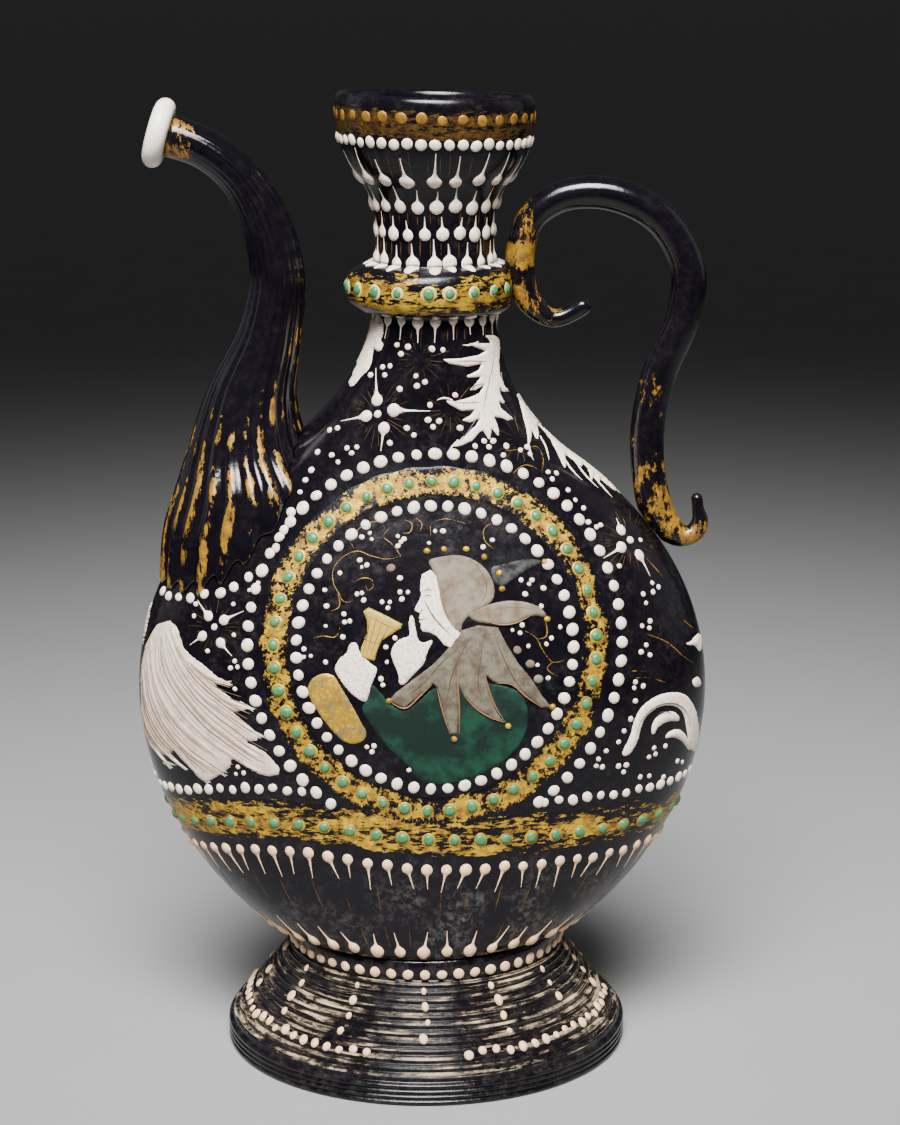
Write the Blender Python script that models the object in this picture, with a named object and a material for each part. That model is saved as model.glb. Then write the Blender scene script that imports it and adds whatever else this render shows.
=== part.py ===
"""A glass ewer: flattened pear-shaped vessel, ribbed foot, fluted curved spout with a white lip, rod handle.

Metres, +Z up. The origin is the centre of the foot, on the table. The front faces -Y and the spout points to -X.
"""
import math

import bmesh
import bpy
import numpy as np

# The gap left between pieces of glass that were fused, and the walls
GAP = 0.0003
BODY_WALL = 0.0030
FOOT_WALL = 0.0042
SPOUT_WALL = 0.0021

# Foot: a round, spreading cone with a rounded edge, open underneath
FOOT_HEIGHT = 0.0352
FOOT_RADIUS = 0.0580
FOOT_EDGE_HEIGHT = 0.0072
FOOT_EDGE_WIDTH = 0.0040
FOOT_EDGE_ROUNDING = 0.0009
COLLAR_RADIUS = 0.0396
COLLAR_HEIGHT = 0.0055
FLARE_POWER = 1.20
RIB_COUNT = 12
RIB_DEPTH = 0.0009

# Body: half widths run along X and half depths along Y; each rise starts where the one before it ends
BASE_RADIUS = 0.0393
BOWL_RISE = 0.0682
BELLY_HALF_WIDTH = 0.0812
BELLY_HALF_DEPTH = 0.0425
BOWL_FULLNESS = 0.0375
BASE_SPREAD = 0.0115
BASE_SPREAD_DEPTH = 0.0030
SHOULDER_RISE = 0.0682
SHOULDER_HALF_WIDTH = 0.0421
SHOULDER_FULLNESS = 0.0376
SHOULDER_SLOPE = 1.42
SHOULDER_TURN = 0.0090
NECK_SWEEP_RISE = 0.0406
NECK_SWEEP = 0.0180
NECK_TURN = 0.0066
NECK_RADIUS = 0.0172
DEPTH_FULLNESS = 0.0400
DEPTH_SWEEP = 0.0520
BODY_DRIFT = -0.0010
NECK_DRIFT = 0.0028
DRIFT_START = 0.0680

# Knop: the swollen ring round the neck
KNOP_RADIUS = 0.0230
KNOP_HALF_HEIGHT = 0.0066
KNOP_RISE = 0.0065
KNOP_DRIFT = 0.0012
KNOP_SQUARENESS = 2.6

# Throat and cup
THROAT_RISE = 0.0125
THROAT_RADIUS = 0.0163
CUP_TURN_RISE = 0.0180
CUP_TURN_RADIUS = 0.0215
CUP_TURN_SLOPE = 0.85
CUP_TURN = 0.0040
THROAT_LENGTH = 0.0100
CUP_RADIUS = 0.0275
CUP_RISE = 0.0195
CUP_FULLNESS = 0.0105
RIM_HEIGHT = 0.0029
RIM_TILT = math.radians(1.5)

# Spout: it springs from the shoulder on the left; the course is sideways from its root's axis, rise, radius
SPOUT_SEAT_RISE = 0.0988
SPOUT_ROOT_RADIUS = 0.0260
SPOUT_COURSE = (
    (0.0011, 0.0160, 0.0255),
    (0.0026, 0.0280, 0.0236),
    (0.0005, 0.0385, 0.0180),
    (0.0013, 0.0540, 0.0129),
    (0.0064, 0.0710, 0.0091),
    (0.0087, 0.0880, 0.0077),
    (0.0056, 0.1027, 0.0070),
    (-0.0023, 0.1160, 0.0060),
    (-0.0112, 0.1227, 0.0057),
)
SPOUT_TIP = (-0.0203, 0.1260)
SPOUT_TIP_RADIUS = 0.0059
SPOUT_ROOT_FLATNESS = 0.93
SPOUT_HOLE_RADIUS = 0.0095
FLUTE_COUNT = 24
FLUTE_DEPTH = 0.0016
FLUTE_FADE = 0.55

# Lip: the ring of white glass round the spout's tip
LIP_RADIUS = 0.0098
LIP_THICKNESS = 0.0056
LIP_ROUNDING = 0.0028
LIP_MOUTH_FLARE = 0.0012

# Handle: one rod; the arch is measured from where it touches the knop, the tail from where it meets the shoulder
HANDLE_SEAT_DROP = 0.0172
HANDLE_ARCH = (
    (0.0196, -0.0057, 0.0025),
    (0.0112, -0.0089, 0.0026),
    (0.0053, -0.0047, 0.0034),
    (0.0022, 0.0065, 0.0040),
    (0.0060, 0.0197, 0.0040),
    (0.0132, 0.0246, 0.0043),
    (0.0228, 0.0260, 0.0046),
    (0.0414, 0.0183, 0.0047),
    (0.0492, 0.0025, 0.0049),
)
HANDLE_TAIL = (
    (0.0119, 0.0579, 0.0049),
    (0.0047, 0.0385, 0.0049),
    (0.0019, 0.0215, 0.0048),
    (0.0027, 0.0100, 0.0048),
    (0.0040, 0.0036, 0.0049),
    (0.0077, -0.0035, 0.0043),
    (0.0127, -0.0067, 0.0031),
    (0.0159, -0.0055, 0.0028),
    (0.0173, -0.0025, 0.0024),
    (0.0167, 0.0011, 0.0017),
    (0.0163, 0.0041, 0.0016),
)

# How the rod's side gives way where it meets the body: small steps outwards, with some lift
PRESS_STEP = 0.0001
PRESS_STEPS = 100
PRESS_LIFT = 0.4

# How finely the solids are faceted, and where the rings of the round forms lie
SHARP_ANGLE = math.radians(38.0)
SLOPE_STEP = 0.0004
TRIM_FINENESS = 24
TRIM_HALVINGS = 30
HOLE_SIDES = 20
KNOP_ANGLES = np.radians((-90.0, -50.0, 0.0, 50.0, 90.0))
KNOP_MARGIN = 1.25
RIM_ANGLES = np.radians((45.0, 90.0, 135.0))
LIP_ANGLES = np.radians((-45.0, 0.0, 45.0))
INSIDE_SHARES = np.array((0.0, 0.03, 0.11, 0.30, 0.45, 0.57, 0.66, 0.75, 0.86, 0.92, 1.0))
FOOT_HOLLOW_SHARES = (0.0, 0.33, 0.66, 0.94)
ROD_END_SHARES = (0.45, 0.8)
BODY_SIDES = 36
FOOT_SIDES = 40
LIP_SIDES = 20
HANDLE_SIDES = 10
HANDLE_STEPS = 44
SPOUT_STEPS = 15


def bezier(start, start_handle, end_handle, end, steps):
    """Points of one cubic curve, with both ends."""
    t = np.linspace(0.0, 1.0, steps + 1)[:, None]
    s = 1.0 - t
    corners = [np.array(corner) for corner in (start, start_handle, end_handle, end)]
    return s**3 * corners[0] + 3 * s * s * t * corners[1] + 3 * s * t * t * corners[2] + t**3 * corners[3]


def smooth_course(points, steps):
    """A smooth curve through all the points, evenly stepped along its length."""
    points = np.array(points)
    count = len(points)
    chord = np.maximum(np.linalg.norm(np.diff(points[:, :2], axis=0), axis=1), 1e-6)
    knots = np.concatenate(([0.0], np.cumsum(chord)))
    slopes = np.empty_like(points)
    rates = np.diff(points, axis=0) / chord[:, None]
    slopes[1:-1] = (rates[:-1] * chord[1:, None] + rates[1:] * chord[:-1, None]) / (chord[:-1] + chord[1:])[:, None]
    slopes[0] = 1.5 * rates[0] - 0.5 * slopes[1]
    slopes[-1] = 1.5 * rates[-1] - 0.5 * slopes[-2]
    places = np.linspace(0.0, knots[-1], steps + 1)
    piece = np.clip(np.searchsorted(knots, places, side="right") - 1, 0, count - 2)
    width = chord[piece][:, None]
    t = ((places - knots[piece]) / chord[piece])[:, None]
    return (
        (2 * t**3 - 3 * t**2 + 1) * points[piece]
        + (t**3 - 2 * t**2 + t) * width * slopes[piece]
        + (3 * t**2 - 2 * t**3) * points[piece + 1]
        + (t**3 - t**2) * width * slopes[piece + 1]
    )


def smooth_step(value):
    value = np.clip(value, 0.0, 1.0)
    return value * value * (3.0 - 2.0 * value)


# Heights that the rises add up to
BODY_BASE = FOOT_HEIGHT + GAP
BELLY_HEIGHT = BODY_BASE + BOWL_RISE
SHOULDER_HEIGHT = BELLY_HEIGHT + SHOULDER_RISE
NECK_HEIGHT = SHOULDER_HEIGHT + NECK_SWEEP_RISE
KNOP_HEIGHT = NECK_HEIGHT + KNOP_RISE
THROAT_HEIGHT = KNOP_HEIGHT + THROAT_RISE
CUP_TURN_HEIGHT = THROAT_HEIGHT + CUP_TURN_RISE
CUP_HEIGHT = CUP_TURN_HEIGHT + CUP_RISE
RIM_TOP = CUP_HEIGHT + RIM_HEIGHT


def neck_curve(steps):
    """Neck, throat and cup as (radius, height) rows, without the knop and the rim."""
    straight = bezier(
        (NECK_RADIUS, NECK_HEIGHT),
        (NECK_RADIUS, NECK_HEIGHT + KNOP_RISE),
        (THROAT_RADIUS, THROAT_HEIGHT - KNOP_RISE),
        (THROAT_RADIUS, THROAT_HEIGHT),
        steps,
    )
    flare = bezier(
        (THROAT_RADIUS, THROAT_HEIGHT),
        (THROAT_RADIUS, THROAT_HEIGHT + THROAT_LENGTH),
        (CUP_TURN_RADIUS - CUP_TURN_SLOPE * CUP_TURN, CUP_TURN_HEIGHT - CUP_TURN),
        (CUP_TURN_RADIUS, CUP_TURN_HEIGHT),
        steps,
    )
    cup = bezier(
        (CUP_TURN_RADIUS, CUP_TURN_HEIGHT),
        (CUP_TURN_RADIUS + CUP_TURN_SLOPE * CUP_TURN, CUP_TURN_HEIGHT + CUP_TURN),
        (CUP_RADIUS, CUP_HEIGHT - CUP_FULLNESS),
        (CUP_RADIUS, CUP_HEIGHT),
        steps,
    )
    return np.vstack((straight[1:], flare[1:], cup[1:]))


def width_curve(bowl_steps, shoulder_steps, sweep_steps, neck_steps):
    """The vessel's half width, from its base to the cup's edge, as (half width, height) rows."""
    bowl = bezier(
        (BASE_RADIUS, BODY_BASE),
        (BASE_RADIUS + BASE_SPREAD, BODY_BASE),
        (BELLY_HALF_WIDTH, BELLY_HEIGHT - BOWL_FULLNESS),
        (BELLY_HALF_WIDTH, BELLY_HEIGHT),
        bowl_steps,
    )
    turn = (SHOULDER_HALF_WIDTH, SHOULDER_HEIGHT)
    shoulder = bezier(
        (BELLY_HALF_WIDTH, BELLY_HEIGHT),
        (BELLY_HALF_WIDTH, BELLY_HEIGHT + SHOULDER_FULLNESS),
        (SHOULDER_HALF_WIDTH + SHOULDER_SLOPE * SHOULDER_TURN, SHOULDER_HEIGHT - SHOULDER_TURN),
        turn,
        shoulder_steps,
    )
    sweep = bezier(
        turn,
        (SHOULDER_HALF_WIDTH - SHOULDER_SLOPE * NECK_TURN, SHOULDER_HEIGHT + NECK_TURN),
        (NECK_RADIUS, NECK_HEIGHT - NECK_SWEEP),
        (NECK_RADIUS, NECK_HEIGHT),
        sweep_steps,
    )
    return np.vstack((bowl, shoulder[1:], sweep[1:], neck_curve(neck_steps)))


def depth_curve(steps):
    """The vessel's half depth: round at the foot, flattened at the belly, round again from the neck up."""
    bowl = bezier(
        (BASE_RADIUS, BODY_BASE),
        (BASE_RADIUS + BASE_SPREAD_DEPTH, BODY_BASE),
        (BELLY_HALF_DEPTH, BELLY_HEIGHT - BOWL_FULLNESS),
        (BELLY_HALF_DEPTH, BELLY_HEIGHT),
        steps,
    )
    taper = bezier(
        (BELLY_HALF_DEPTH, BELLY_HEIGHT),
        (BELLY_HALF_DEPTH, BELLY_HEIGHT + DEPTH_FULLNESS),
        (NECK_RADIUS, NECK_HEIGHT - DEPTH_SWEEP),
        (NECK_RADIUS, NECK_HEIGHT),
        steps,
    )
    return np.vstack((bowl, taper[1:], neck_curve(steps)))


def drift(heights):
    """How far the vessel's axis leans towards the handle at a height."""
    start = BELLY_HEIGHT + DRIFT_START
    return BODY_DRIFT + (NECK_DRIFT - BODY_DRIFT) * smooth_step((heights - start) / (NECK_HEIGHT - start))


def knop_swell(heights, plain):
    """The half width at a height once the knop is on the neck."""
    across = np.clip(np.abs(heights - KNOP_HEIGHT) / KNOP_HALF_HEIGHT, 0.0, 1.0)
    bulge = (1.0 - across**KNOP_SQUARENESS) ** (1.0 / KNOP_SQUARENESS)
    return plain + (KNOP_RADIUS - plain) * bulge


def knop_drift(heights):
    across = np.clip(1.0 - np.abs(heights - KNOP_HEIGHT) / KNOP_HALF_HEIGHT, 0.0, 1.0)
    return (KNOP_DRIFT - NECK_DRIFT) * smooth_step(across * 2.0)


FINE_WIDTH = width_curve(80, 80, 60, 40)
FINE_DEPTH = depth_curve(80)


def envelope(heights, clearance=0.0):
    """Half width, half depth and centre of the outside at each height, grown by a clearance."""
    width = knop_swell(heights, np.interp(heights, FINE_WIDTH[:, 1], FINE_WIDTH[:, 0]))
    depth = knop_swell(heights, np.interp(heights, FINE_DEPTH[:, 1], FINE_DEPTH[:, 0]))
    width_growth, depth_growth = clearance, clearance
    if clearance:
        above, below = envelope(heights + SLOPE_STEP), envelope(heights - SLOPE_STEP)
        width_slope = (above[0] - below[0]) / (2.0 * SLOPE_STEP)
        depth_slope = (above[1] - below[1]) / (2.0 * SLOPE_STEP)
        width_growth = clearance * np.sqrt(1.0 + width_slope**2)
        depth_growth = clearance * np.sqrt(1.0 + depth_slope**2)
    return width + width_growth, depth + depth_growth, drift(heights) + knop_drift(heights)


def depth_inside(points, clearance):
    """Below one where a point is inside the vessel's outside, grown by the clearance; one on it."""
    width, depth, centre = envelope(points[..., 2], clearance)
    level = np.hypot((points[..., 0] - centre) / width, points[..., 1] / depth)
    return np.where(points[..., 2] < BODY_BASE, 9.0, level)


def inset(curve, wall):
    """A (size, height) curve moved inwards by the wall, square to itself."""
    run = np.gradient(curve, axis=0)
    run /= np.linalg.norm(run, axis=1)[:, None]
    return curve + wall * np.column_stack((-run[:, 1], run[:, 0]))


def ring(width, depth, centre, height, sides):
    """One level ring of points, counter-clockwise from +X as seen from above."""
    angle = np.arange(sides) * (2.0 * math.pi / sides)
    return np.column_stack((
        centre + width * np.cos(angle),
        depth * np.sin(angle),
        np.full(sides, height),
    ))


def loft(rings, name, close_start=False, close_end=False, closed_loop=False):
    """Join rings of equal count into one mesh, capping the ends with a fan or looping back to the start."""
    mesh = bmesh.new()
    rows = [[mesh.verts.new(point) for point in points] for points in rings]
    sides = len(rows[0])
    pairs = list(zip(rows, rows[1:]))
    if closed_loop:
        pairs.append((rows[-1], rows[0]))
    for lower, upper in pairs:
        for index in range(sides):
            after = (index + 1) % sides
            mesh.faces.new((lower[index], lower[after], upper[after], upper[index]))
    for row, wanted, order in ((rows[0], close_start, -1), (rows[-1], close_end, 1)):
        if wanted:
            centre = mesh.verts.new(np.mean([vertex.co for vertex in row], axis=0))
            for index in range(sides):
                corners = (row[index], row[(index + 1) % sides])[::order]
                mesh.faces.new((*corners, centre))
    bmesh.ops.recalc_face_normals(mesh, faces=mesh.faces)
    data = bpy.data.meshes.new(name)
    mesh.to_mesh(data)
    mesh.free()
    data.shade_smooth()
    data.set_sharp_from_angle(angle=SHARP_ANGLE)
    piece = bpy.data.objects.new(name, data)
    bpy.context.scene.collection.objects.link(piece)
    return piece


def glass(name, colour, roughness):
    material = bpy.data.materials.new(name)
    material.use_nodes = True
    shader = material.node_tree.nodes["Principled BSDF"]
    shader.inputs["Base Color"].default_value = (*colour, 1.0)
    shader.inputs["Roughness"].default_value = roughness
    shader.inputs["Metallic"].default_value = 0.0
    return material


def tilt_rim(rings):
    """Lean the cup so that its rim is lower on the handle's side."""
    span = RIM_TOP - THROAT_HEIGHT
    for points in rings:
        weight = smooth_step((points[:, 2] - THROAT_HEIGHT) / span)
        points[:, 2] -= weight * math.tan(RIM_TILT) * (points[:, 0] - NECK_DRIFT)
    return rings


def vessel_outside(sides):
    """Rings up the outside, with the knop, to the cup's edge."""
    heights = width_curve(8, 6, 5, 3)[:, 1]
    knop = KNOP_HEIGHT + KNOP_HALF_HEIGHT * np.sin(KNOP_ANGLES)
    reach = KNOP_HALF_HEIGHT * KNOP_MARGIN
    heights = heights[np.abs(heights - KNOP_HEIGHT) > reach]
    heights = np.sort(np.concatenate((heights, knop)))
    width, depth, centre = envelope(heights)
    return [ring(width[i], depth[i], centre[i], heights[i], sides) for i in range(len(heights))]


def vessel_inside(sides):
    """Rings down the inside, from the cup's edge to the floor, without the knop."""
    widths = inset(FINE_WIDTH, BODY_WALL)
    depths = inset(FINE_DEPTH, BODY_WALL)
    floor = widths[0, 1]
    heights = floor + (CUP_HEIGHT - floor) * INSIDE_SHARES
    rings = []
    for height in heights[::-1]:
        width = np.interp(height, widths[:, 1], widths[:, 0])
        depth = np.interp(height, depths[:, 1], depths[:, 0])
        rings.append(ring(width, depth, drift(height), height, sides))
    return rings


def rim_rings(sides):
    """The rounded edge of the cup, from the outside over to the inside."""
    half_wall = BODY_WALL / 2.0
    rings = []
    for angle in RIM_ANGLES:
        radius = CUP_RADIUS - half_wall + half_wall * math.cos(angle)
        height = CUP_HEIGHT + RIM_HEIGHT * math.sin(angle)
        rings.append(ring(radius, radius, NECK_DRIFT, height, sides))
    return rings


def spout_axis():
    """Where the spout's root stands: its outer edge is above the body's edge at the seat."""
    height = BODY_BASE + SPOUT_SEAT_RISE
    width, _, centre = envelope(np.array([height]))
    return centre[0] - width[0] + SPOUT_ROOT_RADIUS, height


def spout_course(steps):
    """Rows of x, z, radius and direction along the spout, from its tip down into the body."""
    axis, seat = spout_axis()
    rows = [(0.0, 0.0, SPOUT_ROOT_RADIUS), *SPOUT_COURSE, (*SPOUT_TIP, SPOUT_TIP_RADIUS)]
    course = smooth_course([(axis + x, seat + z, radius) for x, z, radius in rows], steps)[::-1]
    run = np.gradient(course[:, :2], axis=0)
    run /= np.linalg.norm(run, axis=1)[:, None]
    return course, run


def spout_skin(steps, sides, shrink, fluted, clearance):
    """Rings of one skin of the spout, from the tip to where it meets the body's side."""
    course, run = spout_course(steps)
    along = np.linspace(0.0, 1.0, len(course))
    angle = np.arange(sides) * (2.0 * math.pi / sides)
    lines = np.empty((len(course), sides, 3))
    for row, ((x, z, radius), (run_x, run_z), share) in enumerate(zip(course, run, along)):
        fade = smooth_step((share - (1.0 - FLUTE_FADE)) / FLUTE_FADE)
        furrow = FLUTE_DEPTH * fade * (1.0 - np.cos(angle * FLUTE_COUNT)) / 2.0 if fluted else 0.0
        size = radius - shrink - furrow
        lines[row, :, 0] = x - size * np.cos(angle) * run_z
        lines[row, :, 1] = size * np.sin(angle) * (1.0 - (1.0 - SPOUT_ROOT_FLATNESS) * fade)
        lines[row, :, 2] = z + size * np.cos(angle) * run_x
    return trim_to_body(lines, clearance)


def trim_to_body(lines, clearance):
    """Cut each lengthwise line where it meets the body, and spread its points again over what is left."""
    rows, sides, _ = lines.shape
    trimmed = np.empty_like(lines)
    places = np.linspace(0.0, rows - 1.0, rows * TRIM_FINENESS)
    for side in range(sides):
        fine = np.column_stack([np.interp(places, np.arange(rows), lines[:, side, axis]) for axis in range(3)])
        inside = depth_inside(fine, clearance) < 1.0
        inside[: len(inside) // 3] = False
        last = int(np.argmax(inside)) if inside.any() else len(fine) - 1
        low, high = fine[last - 1], fine[last]
        for _ in range(TRIM_HALVINGS):
            middle = (low + high) / 2.0
            if depth_inside(middle, clearance) < 1.0:
                high = middle
            else:
                low = middle
        kept = np.vstack((fine[:last], low))
        length = np.concatenate(([0.0], np.cumsum(np.linalg.norm(np.diff(kept, axis=0), axis=1))))
        spread = np.linspace(0.0, length[-1], rows)
        for axis in range(3):
            trimmed[:, side, axis] = np.interp(spread, length, kept[:, axis])
    return list(trimmed)


def build_spout(material):
    sides = FLUTE_COUNT * 2
    outside = spout_skin(SPOUT_STEPS, sides, 0.0, True, GAP)
    inside = spout_skin(SPOUT_STEPS, sides, SPOUT_WALL, False, GAP)
    inner_rows = inside[:0:-2] + [inside[0]]
    spout = loft(outside + inner_rows, "spout", closed_loop=True)
    spout.data.materials.append(material)
    return spout


def build_spout_cutter():
    """A short rod through the body's wall, where the spout's hollow begins."""
    axis, seat = spout_axis()
    heights = np.linspace(seat, NECK_HEIGHT, len(FINE_WIDTH))
    width, _, centre = envelope(heights)
    wall = int(np.argmin(np.abs(centre - width - axis)))
    slope = (width[wall + 1] - width[wall - 1]) / (heights[wall + 1] - heights[wall - 1])
    outward = np.array((-1.0, 0.0, -slope)) / math.hypot(1.0, slope)
    middle = np.array((axis, 0.0, heights[wall]))
    across = np.array((outward[2], 0.0, -outward[0]))
    rings = []
    for reach in (-3.0 * BODY_WALL, 2.0 * BODY_WALL):
        angle = np.arange(HOLE_SIDES) * (2.0 * math.pi / HOLE_SIDES)
        turn = np.outer(np.cos(angle), across) + np.outer(np.sin(angle), (0.0, 1.0, 0.0))
        rings.append(middle + outward * reach + SPOUT_HOLE_RADIUS * turn)
    cutter = loft(rings, "spout_hole_cutter", close_start=True, close_end=True)
    cutter.hide_render = True
    cutter.display_type = "WIRE"
    return cutter


def build_body(material, cutter):
    rings = vessel_outside(BODY_SIDES) + rim_rings(BODY_SIDES) + vessel_inside(BODY_SIDES)
    body = loft(tilt_rim(rings), "body", close_start=True, close_end=True)
    body.data.materials.append(material)
    hole = body.modifiers.new("spout hole", "BOOLEAN")
    hole.operation = "DIFFERENCE"
    hole.solver = "EXACT"
    hole.object = cutter
    return body


def foot_outline():
    """The foot's turned section, up the ribbed outside and down the hollow inside."""
    inner_edge = FOOT_RADIUS - FOOT_EDGE_WIDTH
    flare_high = FOOT_HEIGHT - COLLAR_HEIGHT
    flare_radius = FOOT_RADIUS - FOOT_EDGE_ROUNDING
    outline = [
        (FOOT_RADIUS - FOOT_EDGE_ROUNDING, 0.0),
        (FOOT_RADIUS, FOOT_EDGE_ROUNDING),
        (FOOT_RADIUS, FOOT_EDGE_HEIGHT - 2.0 * FOOT_EDGE_ROUNDING),
    ]
    for step in range(2 * RIB_COUNT + 1):
        share = 1.0 - step / (2.0 * RIB_COUNT)
        radius = COLLAR_RADIUS + (flare_radius - COLLAR_RADIUS) * share**FLARE_POWER
        height = flare_high + (FOOT_EDGE_HEIGHT - flare_high) * share
        sunk = RIB_DEPTH * math.sqrt(0.5) if step % 2 == 0 else 0.0
        outline.append((radius - sunk, height - sunk))
    outline.append((COLLAR_RADIUS, FOOT_HEIGHT - COLLAR_HEIGHT / 2.0))
    outline.append((BASE_RADIUS - RIB_DEPTH, FOOT_HEIGHT))
    outline.append((BASE_RADIUS - FOOT_WALL, FOOT_HEIGHT))
    for share in FOOT_HOLLOW_SHARES:
        radius = COLLAR_RADIUS + (inner_edge - COLLAR_RADIUS) * share**FLARE_POWER - FOOT_WALL
        outline.append((radius, flare_high * (1.0 - share)))
    outline.append((inner_edge, 0.0))
    return outline


def build_foot(material):
    rings = [ring(radius, radius, 0.0, height, FOOT_SIDES) for radius, height in foot_outline()]
    foot = loft(rings, "foot", closed_loop=True)
    foot.data.materials.append(material)
    return foot


def build_lip(material):
    """A thick, rounded ring seated on the spout's end, square to its run."""
    course, run = spout_course(SPOUT_STEPS)
    tip = np.array((course[0, 0], 0.0, course[0, 1]))
    outward = -np.array((run[0, 0], 0.0, run[0, 1]))
    across = np.array((outward[2], 0.0, -outward[0]))
    bore = SPOUT_TIP_RADIUS - SPOUT_WALL
    outline = [(bore, 0.0), (LIP_RADIUS - LIP_ROUNDING, 0.0)]
    for turn in LIP_ANGLES:
        outline.append((
            LIP_RADIUS - LIP_ROUNDING + LIP_ROUNDING * math.cos(turn),
            LIP_THICKNESS / 2.0 + LIP_THICKNESS / 2.0 * math.sin(turn),
        ))
    outline.append((LIP_RADIUS - LIP_ROUNDING, LIP_THICKNESS))
    outline.append((bore + LIP_MOUTH_FLARE, LIP_THICKNESS))
    outline.append((bore, LIP_THICKNESS - LIP_MOUTH_FLARE))
    angle = np.arange(LIP_SIDES) * (2.0 * math.pi / LIP_SIDES)
    turn = np.outer(np.cos(angle), across) + np.outer(np.sin(angle), (0.0, 1.0, 0.0))
    rings = [tip + outward * (GAP + out) + radius * turn for radius, out in outline]
    lip = loft(rings, "spout_lip", closed_loop=True)
    lip.data.materials.append(material)
    return lip


def handle_course(steps):
    """Rows of x, z and radius along the rod, from the upper curl's end to the lower curl's tip."""
    width, _, centre = envelope(np.array([KNOP_HEIGHT, SHOULDER_HEIGHT - HANDLE_SEAT_DROP]))
    knop = (centre[0] + width[0], KNOP_HEIGHT)
    shoulder = (centre[1] + width[1], SHOULDER_HEIGHT - HANDLE_SEAT_DROP)
    points = [(knop[0] + x, knop[1] + z, radius) for x, z, radius in HANDLE_ARCH]
    points += [(shoulder[0] + x, shoulder[1] + z, radius) for x, z, radius in HANDLE_TAIL]
    return smooth_course(points, steps)


def press_on_body(points):
    """Flatten the rod where it was pressed on the hot body, leaving the gap."""
    for _ in range(PRESS_STEPS):
        sunk = depth_inside(points, GAP) < 1.0
        if not sunk.any():
            break
        points[sunk, 0] += PRESS_STEP
        points[sunk, 2] += PRESS_STEP * PRESS_LIFT
    return points


def rod_rings(course, sides):
    """Rings round the rod's course, with both ends rounded off."""
    run = np.gradient(course[:, :2], axis=0)
    run /= np.linalg.norm(run, axis=1)[:, None]
    rows = [(*place, *along, 1.0) for place, along in zip(course, run)]
    for share in ROD_END_SHARES:
        shrunk = math.sqrt(1.0 - share * share)
        rows.insert(0, (*end_place(course[0], -run[0], share), *run[0], shrunk))
        rows.append((*end_place(course[-1], run[-1], share), *run[-1], shrunk))
    angle = np.arange(sides) * (2.0 * math.pi / sides)
    rings = []
    for x, z, radius, run_x, run_z, shrunk in rows:
        size = radius * shrunk
        rings.append(np.column_stack((
            x - size * np.cos(angle) * run_z,
            size * np.sin(angle),
            z + size * np.cos(angle) * run_x,
        )))
    return rings


def end_place(place, outward, share):
    """A place beyond the rod's end, by a share of its radius."""
    x, z, radius = place
    return x + outward[0] * radius * share, z + outward[1] * radius * share, radius


def build_handle(material):
    rings = [press_on_body(points) for points in rod_rings(handle_course(HANDLE_STEPS), HANDLE_SIDES)]
    handle = loft(rings, "handle", close_start=True, close_end=True)
    handle.data.materials.append(material)
    return handle


def main():
    for thing in list(bpy.data.objects):
        bpy.data.objects.remove(thing, do_unlink=True)
    dark_glass = glass("dark_glass", (0.020, 0.014, 0.030), 0.08)
    white_glass = glass("white_glass", (0.80, 0.76, 0.72), 0.30)
    build_body(dark_glass, build_spout_cutter())
    build_foot(glass("foot_glass", (0.035, 0.028, 0.040), 0.22))
    build_spout(glass("spout_glass", (0.022, 0.016, 0.032), 0.10))
    build_lip(white_glass)
    build_handle(glass("handle_glass", (0.030, 0.020, 0.022), 0.12))


main()
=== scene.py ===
"""The looks of the glass ewer: fine meshes of its glass, with the enamel and the gilding that lie on it.

Metres, +Z up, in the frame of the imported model: the front faces -Y and the spout points to -X.
"""
import math
import random

import bpy
import numpy as np
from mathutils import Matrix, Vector
from mathutils.geometry import delaunay_2d_cdt


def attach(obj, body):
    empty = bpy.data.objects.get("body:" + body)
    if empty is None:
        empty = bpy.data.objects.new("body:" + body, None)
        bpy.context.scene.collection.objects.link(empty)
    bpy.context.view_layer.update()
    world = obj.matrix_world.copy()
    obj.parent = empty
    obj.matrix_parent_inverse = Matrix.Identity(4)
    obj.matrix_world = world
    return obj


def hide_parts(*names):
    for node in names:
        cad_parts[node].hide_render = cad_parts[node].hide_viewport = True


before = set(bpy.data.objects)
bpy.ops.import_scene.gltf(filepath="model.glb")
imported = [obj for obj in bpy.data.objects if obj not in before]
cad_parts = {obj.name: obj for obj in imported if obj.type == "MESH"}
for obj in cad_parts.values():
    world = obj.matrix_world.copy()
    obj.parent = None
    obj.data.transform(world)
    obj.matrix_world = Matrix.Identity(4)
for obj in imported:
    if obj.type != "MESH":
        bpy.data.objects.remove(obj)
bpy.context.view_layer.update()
draw = random.Random(11)

# The glass has the sizes of the solids
GAP = 0.0003
BODY_WALL = 0.0030
FOOT_WALL = 0.0042
SPOUT_WALL = 0.0021
FOOT_HEIGHT = 0.0352
FOOT_RADIUS = 0.0580
FOOT_EDGE_HEIGHT = 0.0072
FOOT_EDGE_WIDTH = 0.0040
FOOT_EDGE_ROUNDING = 0.0009
FOOT_EDGE_RIBS = 3
FOOT_EDGE_RIB_DEPTH = 0.0006
COLLAR_RADIUS = 0.0396
COLLAR_HEIGHT = 0.0055
FLARE_POWER = 1.20
RIB_COUNT = 12
RIB_DEPTH = 0.0009
BASE_RADIUS = 0.0393
BOWL_RISE = 0.0682
BELLY_HALF_WIDTH = 0.0812
BELLY_HALF_DEPTH = 0.0425
BOWL_FULLNESS = 0.0375
BASE_SPREAD = 0.0115
BASE_SPREAD_DEPTH = 0.0030
SHOULDER_RISE = 0.0682
SHOULDER_HALF_WIDTH = 0.0421
SHOULDER_FULLNESS = 0.0376
SHOULDER_SLOPE = 1.42
SHOULDER_TURN = 0.0090
NECK_SWEEP_RISE = 0.0406
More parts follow.
